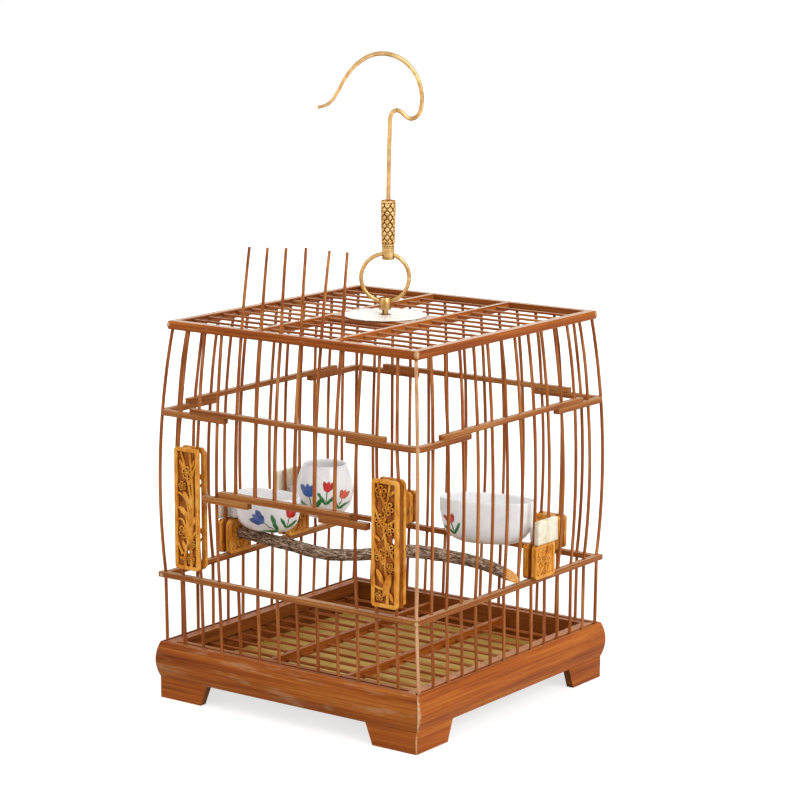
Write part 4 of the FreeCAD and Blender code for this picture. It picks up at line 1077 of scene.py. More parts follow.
@dataclass
class Rods:
    """All upright and level rods, drawn by hand through a plate, so each is round and a little uneven."""

    palette: Palette
    bow: Bow
    radius: float = 1.33 * MM
    unevenness: float = 0.08
    stray: float = 1.1 * MM
    sides: int = 12
    floor_radius: float = 1.2 * MM
    top_radius: float = 1.05 * MM
    door_radii: Pair = (1.6 * MM, 1.15 * MM)
    gripped: tuple[int, ...] = (4, 5, 8, 9)

    def bar(
        self,
        wall: Wall,
        along: Callable[[float], float],
        low: float,
        high: float,
        radii: Pair | None = None,
        lowered: float = 0.0,
    ) -> Piece:
        """One rod of a wall.

        Args:
            wall: the wall that it stands in.
            along: gives its place along the wall at a level.
            low: its foot.
            high: its head.
            radii: its radius at the foot and at the head.
            lowered: how far its head ends lower.

        Returns:
            The mesh object.
        """
        foot, head = radii or (self.radius, self.radius)
        points, sizes = [], []
        for level in self.bow.levels(low, high - lowered):
            share = (level - low) / (high - low)
            points.append(self.bow.spot(wall, along(level), self.bow.line(self.bow.extents(wall)[1], level), level))
            sizes.append((foot + share * (head - foot)) * (1 - self.unevenness * random.random()))
        return wire(points, sizes, self.sides)

    def finish(self, bars: list[Piece], node: str, body: str, slot: str, *finishes: str) -> None:
        """Joins bars as the visible form of a node.

        Args:
            bars: mesh objects.
            node: the node that they stand for.
            body: the body that they ride on.
            slot: the record's material slot; not used.
            finishes: finish names, or none where the bars are dressed already.
        """
        piece = join(bars, f"{node}_drawn")
        smooth(piece, 50.0)
        if finishes:
            self.palette.dress(piece, *finishes)
        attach(piece, body)
        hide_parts(node)
        LOG.info("%s: %d bars", piece.name, len(bars))

    def build(self) -> None:
        """Builds the rods of the walls, the door, the floor and the top."""
        foot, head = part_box("rods_back")[0][2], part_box("rods_back")[1][2]
        inner = range(1, self.bow.gaps)
        rod = "bamboo_rod_along_z"
        for wall in (Wall.RIGHT, Wall.BACK, Wall.LEFT):
            bars = [self.bar(wall, self.strayed(wall, i), foot, head) for i in inner]
            self.finish(bars, f"rods_{wall.name.lower()}", "cage", "bamboo_rod", rod)
        self.front(foot, head, rod)
        self.door(rod)
        self.corners(foot, head)
        self.level_rods("floor_rods", self.floor_radius, "bamboo_rod_along_x")
        self.level_rods("top_rods", self.top_radius, "bamboo_top_rod")

    def strayed(self, wall: Wall, index: int) -> Callable[[float], float]:
        """A fanned rod's line: a little crooked between the hoops, straight where clips grip it.

        Args:
            wall: the rod's wall.
            index: the rod's number.

        Returns:
            A function that gives its place along the wall at a level.
        """
        bow = self.bow
        low, high = (0.0 if index in self.gripped else random.uniform(-self.stray, self.stray) for _ in range(2))

        def along(level: float) -> float:
            """The rod's place along its wall at a level."""
            crook = low * bow.wave(level, bow.hoop_top, bow.upper_hoop[0])
            return bow.fan(wall, index, level) + crook + high * bow.wave(level, bow.upper_hoop[1], bow.top)

        return along

    def front(self, foot: float, head: float, rod: str) -> None:
        """The fixed rods of the front, the outer ones pushed a little aside by the carved plates.

        Args:
            foot: the rods' foot.
            head: the rods' head.
            rod: the finish.
        """
        guides = (self.bow.guide, self.bow.gaps - self.bow.guide)
        door = range(guides[0] + 1, guides[1])
        outer = [i for i in range(1, self.bow.gaps) if i < guides[0] or i > guides[1]]

        def pushed(index: int, level: float) -> float:
            """An outer rod's place along the front at a level."""
            aside = PUSHED_ASIDE[index] * MM * self.bow.wave(level, self.bow.hoop_top, self.bow.upper_hoop[0])
            return self.bow.front_place(index, level) - aside

        hoop_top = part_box("lower_hoop_front")[1][2]
        bars = [self.bar(Wall.FRONT, lambda z, i=i: pushed(i, z), foot, head) for i in outer]
        bars += [self.bar(Wall.FRONT, lambda z, i=i: self.bow.upright(i), foot, hoop_top) for i in door]
        self.finish(bars, "rods_front", "cage", "bamboo_rod", rod)
        bars = [self.bar(Wall.FRONT, lambda z, i=i: self.bow.upright(i), foot, head) for i in guides]
        self.finish(bars, "door_guide_rods", "cage", "bamboo_rod", rod)

    def door(self, rod: str) -> None:
        """The sprung rods of the door, their free tips at slightly different heights.

        Args:
            rod: the finish.
        """
        bar_low, bar_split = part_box("door_end_left")[0][2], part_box("door_end_left")[1][2]
        tip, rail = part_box("door_rods")[1][2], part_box("top_rail_front")[1][2]
        first, last = self.bow.guide + 1, self.bow.gaps - self.bow.guide - 1
        bars = []
        for i in range(first, last + 1):
            low = bar_low if i in (first, last) else bar_split
            order = last - i
            lean = TIP_LEANS[order] * MM / (tip - rail)

            def along(level: float, i: int = i, lean: float = lean) -> float:
                """The rod's place along the front at a level, leaning above the top rail."""
                return self.bow.upright(i) + lean * max(level - rail, 0.0)

            bars.append(self.bar(Wall.FRONT, along, low, tip, self.door_radii, TIP_DROPS[order] * MM))
        self.finish(bars, "door_rods", "door", "bamboo_rod", rod)

    def corners(self, foot: float, head: float) -> None:
        """The four corner rods; the one at the front right is paler.

        Args:
            foot: the rods' foot.
            head: the rods' head.
        """
        bars = []
        for side_x in (-1, 1):
            for side_y in (-1, 1):
                points = []
                for level in self.bow.levels(foot, head):
                    x, y = self.bow.line(self.bow.width, level), self.bow.line(self.bow.depth, level)
                    points.append(Vector((side_x * x, side_y * y, level)))
                bar = wire(points, [self.radius] * len(points), self.sides)
                pale = side_x > 0 > side_y
                self.palette.dress(bar, "bamboo_pale_rod" if pale else "bamboo_rod_along_z")
                bars.append(bar)
        self.finish(bars, "rods_corner", "cage", "corner_rod")

    def level_rods(self, node: str, radius: float, finish: str) -> None:
        """Straight rods along X, evenly spaced through a node's box.

        Args:
            node: the rods' node.
            radius: their radius.
            finish: their finish.
        """
        low, high = (Vector(corner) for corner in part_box(node))
        count = self.bow.gaps - 1
        level = (low.z + high.z) / 2
        bars = []
        for i in range(count):
            y = low.y + radius + i / (count - 1) * (high.y - low.y - 2 * radius)
            points = [Vector((low.x + step / 6 * (high.x - low.x), y, level)) for step in range(7)]
            sizes = [radius * (1 - self.unevenness * random.random()) for _ in points]
            bars.append(wire(points, sizes, self.sides))
        self.finish(bars, node, "cage", "bamboo_rod", finish)


@dataclass
class Woodwork:
    """The boards of the base, door and top, which keep the frame's shape, and the split strips of the hoops."""

    palette: Palette
    eased: float = 0.45 * MM
    unevenness: float = 0.12 * MM
    lower_trim: float = 0.7 * MM
    upper_trims: Pair = (0.4 * MM, 1.3 * MM)
    corner_share: float = 0.53
    corner_width: float = 5.6 * MM
    corner_bend: float = 5.0 * MM
    corner_ends: Pair = (56.9 * MM, 59.0 * MM)

    def build(self) -> None:
        """Dresses each board with fibres along its length, and lays the hoops."""
        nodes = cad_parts
        kinds = {
            ("door_bar", "door_end"): "hoop",
            ("base_", "tray_runners", "floor_bars"): "rail",
            ("top_rail", "top_bars", "top_board"): "top",
        }
        for name, piece in nodes.items():
            low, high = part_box(name)
            along_x = high[0] - low[0] > high[1] - low[1]
            grain = "along_x" if along_x and name not in ("floor_bars", "top_bars", "tray_runners") else "along_y"
            for starts, kind in kinds.items():
                if name.startswith(starts):
                    self.palette.dress(piece, f"bamboo_{kind}_{grain}")
            if name.startswith("foot_"):
                self.palette.dress(piece, "bamboo_foot")
        self.palette.dress(nodes["base_rail_right"], "bamboo_rail_bare_end")
        self.palette.dress(nodes["tray_front"], "bamboo_tray_front")
        self.lower_hoop()
        self.upper_hoop()
        self.palette.dress(nodes["tray_board"], "tray_plywood")
        clips = ("clip_left_front", "clip_left_back", "clip_right", "clips_back")
        for name in ("panel_left_inner", "panel_right_inner", *clips):
            self.palette.dress(nodes[name], "carved_boxwood")
        LOG.info("woodwork dressed")

    def strip(self, name: str, line: list[Vector], width: float, low: float, high: float) -> Piece:
        """A split strip with eased edges, cut across at each place of its line and laid along it.

        Args:
            name: its name.
            line: its middle line seen from above.
            width: its width.
            low: its lower face's height.
            high: its upper face's height.

        Returns:
            The mesh object.
        """
        steps = [(b - a).length for a, b in zip(line, line[1:])]
        places = [sum(steps[:k]) for k in range(len(line))]
        size, middle = Vector((places[-1], width, high - low)), Vector((places[-1] / 2, 0.0, (low + high) / 2))
        piece = block(name, size, middle)
        add_modifier(piece, "BEVEL", width=self.eased, segments=2, limit_method="ANGLE")
        edit(piece)
        for place in places[1:-1]:
            bpy.ops.mesh.select_all(action="SELECT")
            bpy.ops.mesh.bisect(plane_co=(place, 0.0, 0.0), plane_no=(1.0, 0.0, 0.0))
        bpy.ops.object.mode_set(mode="OBJECT")

        def laid(p: Vector) -> Vector:
            """A point of the straight strip, laid on the line and mitred at its bends.

            Args:
                p: the point.

            Returns:
                Its place on the line.
            """
            number = max(k for k in range(len(steps)) if places[k] <= p.x + 0.01 * MM or k == 0)
            along = (line[number + 1] - line[number]).normalized()
            ends = [(line[k + 1] - line[k]).normalized() for k in (max(number - 1, 0), min(number + 1, len(steps) - 1))]
            start, end = (along + ends[0]).normalized(), (along + ends[1]).normalized()
            share = (p.x - places[number]) / steps[number]
            side = start.lerp(end, min(max(share, 0.0), 1.0)).normalized()
            uneven = self.unevenness * noise.noise(Vector((p.x / (9 * MM), p.y / (4 * MM), p.z / (4 * MM))))
            spot = line[number].lerp(line[number + 1], share) + Vector((-side.y, side.x)) * (p.y + uneven)
            return Vector((spot.x, spot.y, p.z + uneven))

        shape(piece, laid)
        return piece

    def keep_strips(self, strips: list[Piece], node: str, finish: str) -> None:
        """Joins strips as the visible form of a hoop's node.

        Args:
            strips: mesh objects.
            node: the node that they stand for.
            finish: their finish.
        """
        piece = join(strips, f"{node}_split")
        smooth(piece, 35.0)
        self.palette.dress(piece, finish)
        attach(piece, "cage")
        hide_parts(node)

    def straight(self, node: str, low: float, high: float) -> None:
        """A straight strip of a hoop, along its node's longer side.

        Args:
            node: the strip's node.
            low: its lower face's height.
            high: its upper face's height.
        """
        start, end = (Vector(corner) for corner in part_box(node))
        middle, size = (start + end) / 2, end - start
        along_x = size.x > size.y
        line = []
        for step in range(13):
            along = (step / 12 - 0.5) * (size.x if along_x else size.y)
            line.append(Vector((middle.x + along, middle.y)) if along_x else Vector((middle.x, middle.y + along)))
        strip = self.strip(node, line, min(size.x, size.y), low, high)
        self.keep_strips([strip], node, f"bamboo_hoop_{'along_x' if along_x else 'along_y'}")

    def lower_hoop(self) -> None:
        """The four straight strips of the lower hoop, split a little thinner than their places in the frame."""
        for wall in Wall:
            node = f"lower_hoop_{wall.name.lower()}"
            low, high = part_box(node)[0][2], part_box(node)[1][2]
            self.straight(node, low + self.lower_trim, high)

    def upper_hoop(self) -> None:
        """The upper hoop: four strips bent round the corners, and four straight ones laid on their ends."""
        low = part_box("upper_hoop_corners")[0][2] + self.upper_trims[0]
        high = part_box("upper_hoop_front")[1][2] - self.upper_trims[1]
        seam = low + (high - low) * self.corner_share
        for wall in Wall:
            self.straight(f"upper_hoop_{wall.name.lower()}", seam, high)
        outer = Vector(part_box("upper_hoop_corners")[1])
        x, y, bend = outer.x - self.corner_width / 2, outer.y - self.corner_width / 2, self.corner_bend
        start_x, end_y = self.corner_ends
        line = [Vector((start_x + step / 5 * (x - bend - start_x), y)) for step in range(5)]
        for step in range(9):
            angle = math.pi / 2 * (1 - step / 8)
            line.append(Vector((x - bend + bend * math.cos(angle), y - bend + bend * math.sin(angle))))
        line += [Vector((x, y - bend - step / 5 * (y - bend - end_y))) for step in range(1, 6)]
        strips = []
        for side_x in (-1, 1):
            for side_y in (-1, 1):
                flipped = [Vector((p.x * side_x, p.y * side_y)) for p in line]
                strips.append(self.strip("corner", flipped, self.corner_width, low, seam))
        self.keep_strips(strips, "upper_hoop_corners", "bamboo_hoop_round")


@dataclass(frozen=True)
class Motif:
    """What is carved in a window. Places run from -1 at its left to 1 at its right, and from 0 to 1 up it.

    A leaf is its place, its lean in degrees and its length in millimetres. A hole is its place and half its
    width and height in millimetres. A bud is a smaller flower.
    """

    twigs: tuple[Line, ...]
    flowers: Line
    buds: Line
    leaves: Spots
    holes: Spots = ()


PLUM = Motif(
    twigs=(
        ((0.2, -0.02), (0.45, 0.14), (-0.1, 0.33), (0.15, 0.5), (-0.2, 0.64), (0.1, 0.8), (0.5, 1.02)),
        ((-0.1, 0.33), (-0.75, 0.4), (-1.1, 0.5)),
        ((0.15, 0.5), (0.6, 0.42), (1.1, 0.34)),
        ((-0.2, 0.64), (-0.7, 0.7), (-1.1, 0.8)),
        ((-0.2, 0.64), (0.5, 0.66), (1.1, 0.72)),
        ((0.1, 0.8), (-0.5, 0.9), (-0.8, 1.02)),
        ((0.45, 0.14), (-0.3, 0.1), (-1.1, 0.14)),
    ),
    flowers=((-0.4, 0.93), (0.34, 0.8), (-0.42, 0.69), (0.42, 0.63), (0.4, 0.46), (-0.42, 0.4)),
    buds=((-0.5, 0.06), (0.55, 0.31)),
    leaves=(
        (0.25, 0.16, -18.0, 19.0), (-0.45, 0.22, 32.0, 13.0), (0.72, 0.93, -50.0, 8.0), (-0.75, 0.54, 55.0, 7.0),
        (0.7, 0.06, 30.0, 9.0), (-0.1, 0.56, -30.0, 7.0),
    ),
    holes=((0.05, 0.74, 1.5, 2.4), (0.0, 0.32, 1.7, 3.0), (-0.7, 0.3, 1.2, 2.0), (0.75, 0.53, 1.1, 2.2)),
)
ORCHID = Motif(
    twigs=(
        ((0.1, 0.2), (-0.1, 0.34), (-0.6, 0.42), (-1.1, 0.4)),
        ((0.15, 0.2), (0.05, 0.4), (-0.4, 0.52), (-1.1, 0.5)),
        ((0.2, 0.2), (0.25, 0.45), (-0.1, 0.62), (-1.1, 0.64)),
        ((0.3, 0.2), (0.5, 0.5), (0.3, 0.72), (-0.7, 1.02)),
        ((0.35, 0.2), (0.75, 0.48), (0.6, 0.75), (0.3, 1.02)),
        ((0.3, 0.2), (0.7, 0.3), (1.1, 0.32)),
        ((0.3, 0.72), (0.7, 0.84), (1.1, 0.92)),
        ((-0.2, -0.02), (-0.5, 0.1), (0.1, 0.22)),
        ((0.4, -0.02), (0.6, 0.12), (0.2, 0.22)),
        ((-0.5, 0.1), (-0.8, 0.14), (-1.1, 0.2)),
    ),
    flowers=((0.1, 0.82), (-0.35, 0.3)),
    buds=((0.4, 0.06), (0.55, 0.2), (-0.45, 0.7)),
    leaves=(
        (0.5, 0.56, -14.0, 14.0), (-0.5, 0.88, 30.0, 10.0), (0.75, 0.4, -24.0, 11.0), (-0.45, 0.06, 75.0, 8.0),
        (-0.3, 0.47, 62.0, 12.0), (0.0, 0.6, 35.0, 13.0), (-0.3, 0.17, 20.0, 10.0), (0.7, 0.9, -30.0, 9.0),
    ),
    holes=((-0.7, 0.57, 1.2, 1.8), (0.1, 0.42, 1.0, 2.2), (0.0, 0.12, 1.0, 1.6)),
)
SPRIG = Motif(
    twigs=(((-0.8, 0.0), (-0.2, 0.35), (0.3, 0.6), (0.5, 1.0)), ((-0.2, 0.35), (-0.7, 0.7), (-0.8, 0.98))),
    flowers=((0.2, 0.48), (-0.5, 0.66)),
    buds=((0.45, 0.86), (-0.15, 0.12)),
    leaves=((0.55, 0.24, -35.0, 7.0), (-0.62, 0.32, 20.0, 6.0), (0.72, 0.8, -60.0, 5.0), (-0.1, 0.9, 55.0, 5.5)),
)


@dataclass
class Carvings:
    """Openwork panels of the front and the relief on the clips, with flowers of little rings on twigs."""

    palette: Palette
    border: float = 2.9 * MM
    corner: float = 3.0 * MM
    flower_reach: float = 5.2 * MM
    bud_share: float = 0.72
    twig_radii: Pair = (1.4 * MM, 0.9 * MM)
    overlap: float = 1.2 * MM
    clip_width: float = 27.0 * MM
    relief_depths: Pair = (-0.85 * MM, 0.5 * MM)

    def bordered(self, width: float, height: float, board: float) -> Piece:
        """A rounded frame about the origin that stands in the XZ plane, its face towards -Y.

        Args:
            width: its width.
            height: its height.
            board: its thickness.

        Returns:
            The mesh object.
        """
        start_clean()
        bpy.ops.mesh.primitive_plane_add(size=1.0, rotation=(math.pi / 2, 0.0, 0.0))
        piece = bpy.context.object
        piece.scale = (width, height, 1.0)
        settle(piece, "bordered")
        edit(piece)
        bpy.ops.mesh.bevel(offset=self.corner, segments=5, affect="VERTICES")
        bpy.ops.mesh.select_mode(type="FACE")
        bpy.ops.mesh.select_all(action="SELECT")
        bpy.ops.mesh.inset(thickness=self.border)
        bpy.ops.mesh.delete(type="FACE")
        bpy.ops.mesh.select_all(action="SELECT")
        bpy.ops.mesh.remove_doubles(threshold=0.15 * MM)
        bpy.ops.object.mode_set(mode="OBJECT")
        add_modifier(piece, "SOLIDIFY", thickness=board, offset=0.0)
        add_modifier(piece, "BEVEL", width=0.55 * MM, segments=3, limit_method="ANGLE")
        return piece

    def flower(self, reach: float) -> Piece:
        """Five ring petals about a small boss, in the XZ plane about the origin.

        Args:
            reach: the flower's radius.

        Returns:
            The mesh object.
        """
        start_clean()
        bpy.ops.mesh.primitive_torus_add(
            major_radius=reach * 0.3, minor_radius=reach * 0.12, major_segments=14, minor_segments=6,
            rotation=(math.pi / 2, 0.0, 0.0),
        )  # fmt: skip
        ring = settle(bpy.context.object, "petal")
        shape(ring, lambda p: Vector((p.x * (0.9 + 0.25 * p.z / (reach * 0.42)), p.y * 1.9, p.z)))
        petals = []
        for k in range(5):
            turn = Matrix.Rotation(math.radians(72 * k), 4, "Y")
            petals.append(copy_of(ring, turn @ Matrix.Translation((0.0, 0.0, reach * 0.6))))
        drop(ring)
        start_clean()
        bpy.ops.mesh.primitive_uv_sphere_add(segments=10, ring_count=6, radius=reach * 0.25)
        boss = settle(bpy.context.object, "boss")
        shape(boss, lambda p: Vector((p.x, p.y * 1.2, p.z)))
        return join([*petals, boss], "flower")

    def leaf(self, length: float) -> Piece:
        """A pointed leaf with a groove down its middle, standing along Z about the origin.

        Args:
            length: half the leaf's length.

        Returns:
            The mesh object.
        """
        start_clean()
        bpy.ops.mesh.primitive_uv_sphere_add(segments=12, ring_count=10, radius=length)
        piece = settle(bpy.context.object, "leaf")

        def pinch(p: Vector) -> Vector:
            """A point of the ball, drawn in to the leaf's form.

            Args:
                p: the point.

            Returns:
                Its place on the leaf.
            """
            up = p.z / length
            wide = 0.34 * (1 - 0.45 * up * up)
            groove = 0.1 * length * math.exp(-((p.x / (0.12 * length)) ** 2))
            return Vector((p.x * wide, p.y * 0.3 - math.copysign(min(groove, abs(p.y) * 0.2), p.y), p.z))

        shape(piece, pinch)
        return piece

    def openwork(self, width: float, height: float, board: float, motif: Motif) -> list[Piece]:
        """The openwork of a panel about the origin.

        Args:
            width: the window's width.
            height: the window's height.
            board: the plate's thickness.
            motif: what is carved in it.

        Returns:
            The mesh objects.
        """

        def spot(place: Pair, forward: float) -> Vector:
            """A place in the window, and how far it stands forward."""
            return Vector((place[0] * width / 2, -forward, (place[1] - 0.5) * height))

        pieces = []
        thick, thin = self.twig_radii
        for number, places in enumerate(motif.twigs):
            count = len(places) - 1
            line = [spot(place, 0.35 * MM * math.sin(2.1 * step + number)) for step, place in enumerate(places)]
            radii = [thick + (thin - thick) * step / count for step in range(count + 1)]
            pieces.append(wire(line, radii, 8, curved=True))
        open_flower, bud = self.flower(self.flower_reach), self.flower(self.flower_reach * self.bud_share)
        for pattern, places in ((open_flower, motif.flowers), (bud, motif.buds)):
            for number, place in enumerate(places):
                turn = Matrix.Rotation(math.radians(31.0 * number), 4, "Y")
                pieces.append(copy_of(pattern, Matrix.Translation(spot(place, board * 0.18)) @ turn))
            drop(pattern)
        for across, up, lean, length in motif.leaves:
            blade = self.leaf(length * MM / 2)
            turn = Matrix.Rotation(math.radians(-lean), 4, "Y")
            pieces.append(copy_of(blade, Matrix.Translation(spot((across, up), board * 0.1)) @ turn))
            drop(blade)
        return pieces

    def ground(self, width: float, height: float, board: float, holes: Spots) -> Piece:
        """The thin pierced ground behind a panel's motif, in a darker copy of the boxwood as painted shade.

        Args:
            width: the window's width.
            height: the window's height.
            board: the plate's thickness.
            holes: places with half widths and half heights in millimetres.

        Returns:
            The mesh object.
        """
        size = Vector((width + self.overlap, board * 0.28, height + self.overlap))
        piece = block("ground", size, Vector((0.0, board * 0.33, 0.0)))
        for across, up, half_wide, half_high in holes:
            start_clean()
            spot = (across * width / 2, 0.0, (up - 0.5) * height)
            bpy.ops.mesh.primitive_cylinder_add(
                vertices=12, radius=MM, depth=4 * board, location=spot, rotation=(math.pi / 2, 0.0, 0.0)
            )
            punch = bpy.context.object
            punch.scale = (half_wide, half_high, 1.0)
            add_modifier(piece, "BOOLEAN", object=punch, operation="DIFFERENCE", solver="EXACT")
            drop(punch)
        # The ground takes the darker boxwood: painted shade of the recess
        self.palette.dress(piece, "carved_hollows")
        return piece

    def panel(self, side: str, motif: Motif) -> None:
        """The outer plate of a front panel.

        Args:
            side: left or right.
            motif: what is carved in it.
        """
        node = f"panel_{side}_outer"
        low, high = (Vector(corner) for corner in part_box(node))
        size, middle = high - low, (low + high) / 2
        window = (size.x - 2 * self.border, size.z - 2 * self.border)
        pieces = [self.bordered(size.x, size.z, size.y - 0.3 * MM)]
        pieces += self.openwork(*window, size.y, motif)
        for piece in pieces:
            self.palette.dress(piece, "carved_boxwood")
        pieces.append(self.ground(*window, size.y, motif.holes))
        carved = join(pieces, f"{node}_carved")
        half = size / 2

        def fitted(p: Vector) -> Vector:
            """A point of the carving, held inside the plate's box and moved to its place."""
            return Vector([max(-h, min(h, v)) + m for v, h, m in zip(p, half, middle)])

        shape(carved, fitted)
        smooth(carved, 40.0)
        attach(carved, "cage")
        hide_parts(node)
        LOG.info("%s: %d pieces", carved.name, len(pieces))

    def relief(self, width: float, height: float) -> Piece:
        """The relief of a clip: a raised rim round a twig with flowers and leaves.

        Args:
            width: its width.
            height: its height.

        Returns:
            The mesh object.
        """
        rim = self.bordered(width, height, 1.5 * MM)
        pieces = self.openwork(width - 2 * self.border, height - 2 * self.border, 0.0, SPRIG)
        raised = join([rim, *pieces], "relief")
        front, back = self.relief_depths
        shape(raised, lambda p: Vector((p.x, max(front, min(back, p.y)), p.z)))
        return raised

    def clip_reliefs(self, node: str, walls: tuple[Wall, ...]) -> None:
        """Lays the relief on both faces of each clip of a node.

        Args:
            node: the clips' node.
            walls: the wall of each clip.
        """
        pattern = self.relief(self.clip_width, self.clip_width)
        low, high = (Vector(corner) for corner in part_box(node))
        middle = (low + high) / 2
        copies = []
        for number, wall in enumerate(walls):
            facing = Matrix.Rotation(math.radians(wall.value - 180), 4, "Z")
            across_x = wall in (Wall.LEFT, Wall.RIGHT)
            outer = max(abs(low.x), abs(high.x)) if across_x else max(abs(low.y), abs(high.y))
            inner = min(abs(low.x), abs(high.x)) if across_x else min(abs(low.y), abs(high.y))
            along = middle.y if across_x else (-1, 1)[number] * (high.x - self.clip_width / 2)
            out = facing @ Vector((0.0, -1.0, 0.0))
            for reach, turn in ((outer, 0.0), (inner, 180.0)):
                place = out * reach + Vector((0.0 if across_x else along, along if across_x else 0.0, middle.z))
                spin = Matrix.Rotation(math.radians(turn), 4, "Z")
                copies.append(copy_of(pattern, Matrix.Translation(place) @ facing @ spin))
        drop(pattern)
        piece = join(copies, f"{node}_relief")
        shape(piece, lambda p: Vector((p.x, min(p.y, CAD_BOUNDS[1][1] - 0.1 * MM), p.z)))
        smooth(piece, 40.0)
        self.palette.dress(piece, "carved_boxwood")
        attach(piece, "cage")
        LOG.info("%s: %d faces of clips", piece.name, len(copies))

    def build(self) -> None:
        """Builds both panels and the relief of the clips."""
        self.panel("left", ORCHID)
        self.panel("right", PLUM)
        self.clip_reliefs("clip_left_front", (Wall.LEFT,))
        self.clip_reliefs("clip_left_back", (Wall.LEFT,))
        self.clip_reliefs("clip_right", (Wall.RIGHT,))
        self.clip_reliefs("clips_back", (Wall.BACK, Wall.BACK))


@dataclass(frozen=True)
class CupForm:
    """The form of one cup: half its length, its width as a share of that, its height, and how it stands.

    The gap is between its rim and the rods. Below 1, blunt makes its outline squarer than an oval.
    """

    name: str
    wall: Wall
    reach: float
    aspect: float
    tall: float
    level: float
    gap: float
    turn: float = 0.0
    blunt: float = 1.0
    jar: bool = False


@dataclass
class Cups:
    """Porcelain cups with rounded rims, a neck through the wall, and cream lugs outside it."""

    palette: Palette
    bow: Bow
    view_azimuth: float = 36.0
    sides: int = 48
    rod_half: float = 1.4 * MM
    clearance: float = 0.6 * MM
    neck_size: Pair = (11.0 * MM, 12.6 * MM)
    neck_level: float = 134.6 * MM
    neck_root: float = 1.9 * MM
    facing_in: float = 0.045
    unpainted: float = -100.0

    def profile(self, form: CupForm) -> list[Pair]:
        """Radius and height of the cup's rings, up its outside and down its inside.

        Args:
            form: the cup's form.

        Returns:
            The rings.
        """
        if form.jar:
            outer = ((0.5, 0.0), (0.56, 0.012), (0.68, 0.07), (0.84, 0.18), (0.95, 0.31), (1.0, 0.46), (0.985, 0.6))
            outer += ((0.93, 0.75), (0.84, 0.87), (0.77, 0.955), (0.765, 0.985), (0.75, 1.0))
            inner = ((0.7, 0.99), (0.69, 0.95), (0.78, 0.85), (0.86, 0.72), (0.9, 0.5), (0.84, 0.28))
            inner += ((0.6, 0.1), (0.3, 0.07))
        else:
            outer = ((0.48, 0.0), (0.54, 0.012), (0.66, 0.05), (0.78, 0.12), (0.88, 0.24), (0.95, 0.42), (0.985, 0.65))
            outer += ((1.0, 0.86), (1.0, 0.97), (0.985, 1.0))
            inner = ((0.935, 0.99), (0.92, 0.94), (0.91, 0.7), (0.86, 0.42), (0.74, 0.2), (0.5, 0.1), (0.25, 0.08))
        return [(form.reach * r, form.tall * h) for r, h in outer + inner]

    def bowl(self, form: CupForm) -> Piece:
        """A cup's bowl about Z, its outline eased towards a blunt oval.

        Args:
            form: the cup's form.

        Returns:
            The mesh object.
        """
        piece = turned(self.profile(form), self.sides)

        def eased(p: Vector) -> Vector:
            """A point of the turned bowl, moved to the cup's outline.

            Args:
                p: the point.

            Returns:
                Its place on the cup.
            """
            radius = math.hypot(p.x, p.y)
            if radius < 1e-6:
                return p
            c, s = p.x / radius, p.y / radius
            x, y = math.copysign(abs(c) ** form.blunt, c), math.copysign(abs(s) ** form.blunt, s)
            swell = 1 + 0.012 * math.sin(2 * math.atan2(s, c) + 0.7)
            return Vector((radius * x, radius * form.aspect * y * swell, p.z))

        shape(piece, eased)
        add_modifier(piece, "SUBSURF", levels=1, render_levels=1)
        return piece

    def paint_map(self, piece: Piece, middle: Vector, foot: float, reach: float) -> None:
        """Lays the painting's millimetres across the outside, and keeps them off the inside.

        Args:
            piece: the cup in its place.
            middle: its axis.
            foot: the height of its foot.
            reach: half its length.
        """
        while piece.data.uv_layers:
            piece.data.uv_layers.remove(piece.data.uv_layers[0])
        layer = piece.data.uv_layers.new(name="painting")
        angle = math.radians(self.view_azimuth)
        right = Vector((math.cos(angle), math.sin(angle), 0.0))
        for polygon in piece.data.polygons:
            centre = polygon.center - middle
            outside = polygon.normal.dot(Vector((centre.x, centre.y, 0.0))) > -self.facing_in * reach
            for index in polygon.loop_indices:
                spot = piece.data.vertices[piece.data.loops[index].vertex_index].co
                height = (spot.z - foot) / MM if outside and abs(polygon.normal.z) < 0.9 else self.unpainted
                layer.data[index].uv = ((spot - middle).dot(right) / MM, height)

    def neck(self, inside: float, outside: float) -> Piece:
        """The rounded neck from the bowl through the wall, along +X about the wall's middle.

        Args:
            inside: where it starts in the bowl.
            outside: where it ends.

        Returns:
            The mesh object.
        """
        size = Vector((outside - inside, *self.neck_size))
        piece = block("neck", size, Vector(((outside + inside) / 2, 0.0, self.neck_level)))
        add_modifier(piece, "BEVEL", width=2.2 * MM, segments=4, limit_method="ANGLE")
        return piece

    def lug(self, form: CupForm) -> None:
        """The cream lug outside the wall: a cut block with eased edges and a shallow worn face.

        Args:
            form: the cup's form.
        """
        node = f"{form.name}_lug"
        low, high = (Vector(corner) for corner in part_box(node))
        middle = (low + high) / 2
        piece = block(f"{node}_eased", high - low, middle)
        add_modifier(piece, "BEVEL", width=1.3 * MM, segments=3, limit_method="ANGLE")
        edit(piece)
        bpy.ops.mesh.subdivide(number_cuts=3)
        bpy.ops.object.mode_set(mode="OBJECT")

        def worn(p: Vector) -> Vector:
            """A point of the block, worn in towards its middle.

            Args:
                p: the point.

            Returns:
                Its worn place.
            """
            dent = 0.35 * MM * (1 + noise.noise(p / (5 * MM)))
            toward = middle - p
            return p + Vector([math.copysign(min(dent, abs(v)), v) for v in toward]) * 0.5

        shape(piece, worn)
        smooth(piece, 40.0)
        self.palette.dress(piece, "cream_resin")
        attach(piece, self.body(form))
        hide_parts(node)

    def body(self, form: CupForm) -> str:
        """The body that a cup rides on."""
        return "cup_" + form.name.split("_")[0]

    def build_one(self, form: CupForm, index: float) -> None:
        """Builds one cup in its place.

        Args:
            form: the cup's form.
            index: where its clip stands along the wall.
        """
        across = self.bow.line(self.bow.extents(form.wall)[1], self.bow.level)
        inside = across - self.rod_half - form.gap
        outside = across + self.rod_half + self.clearance
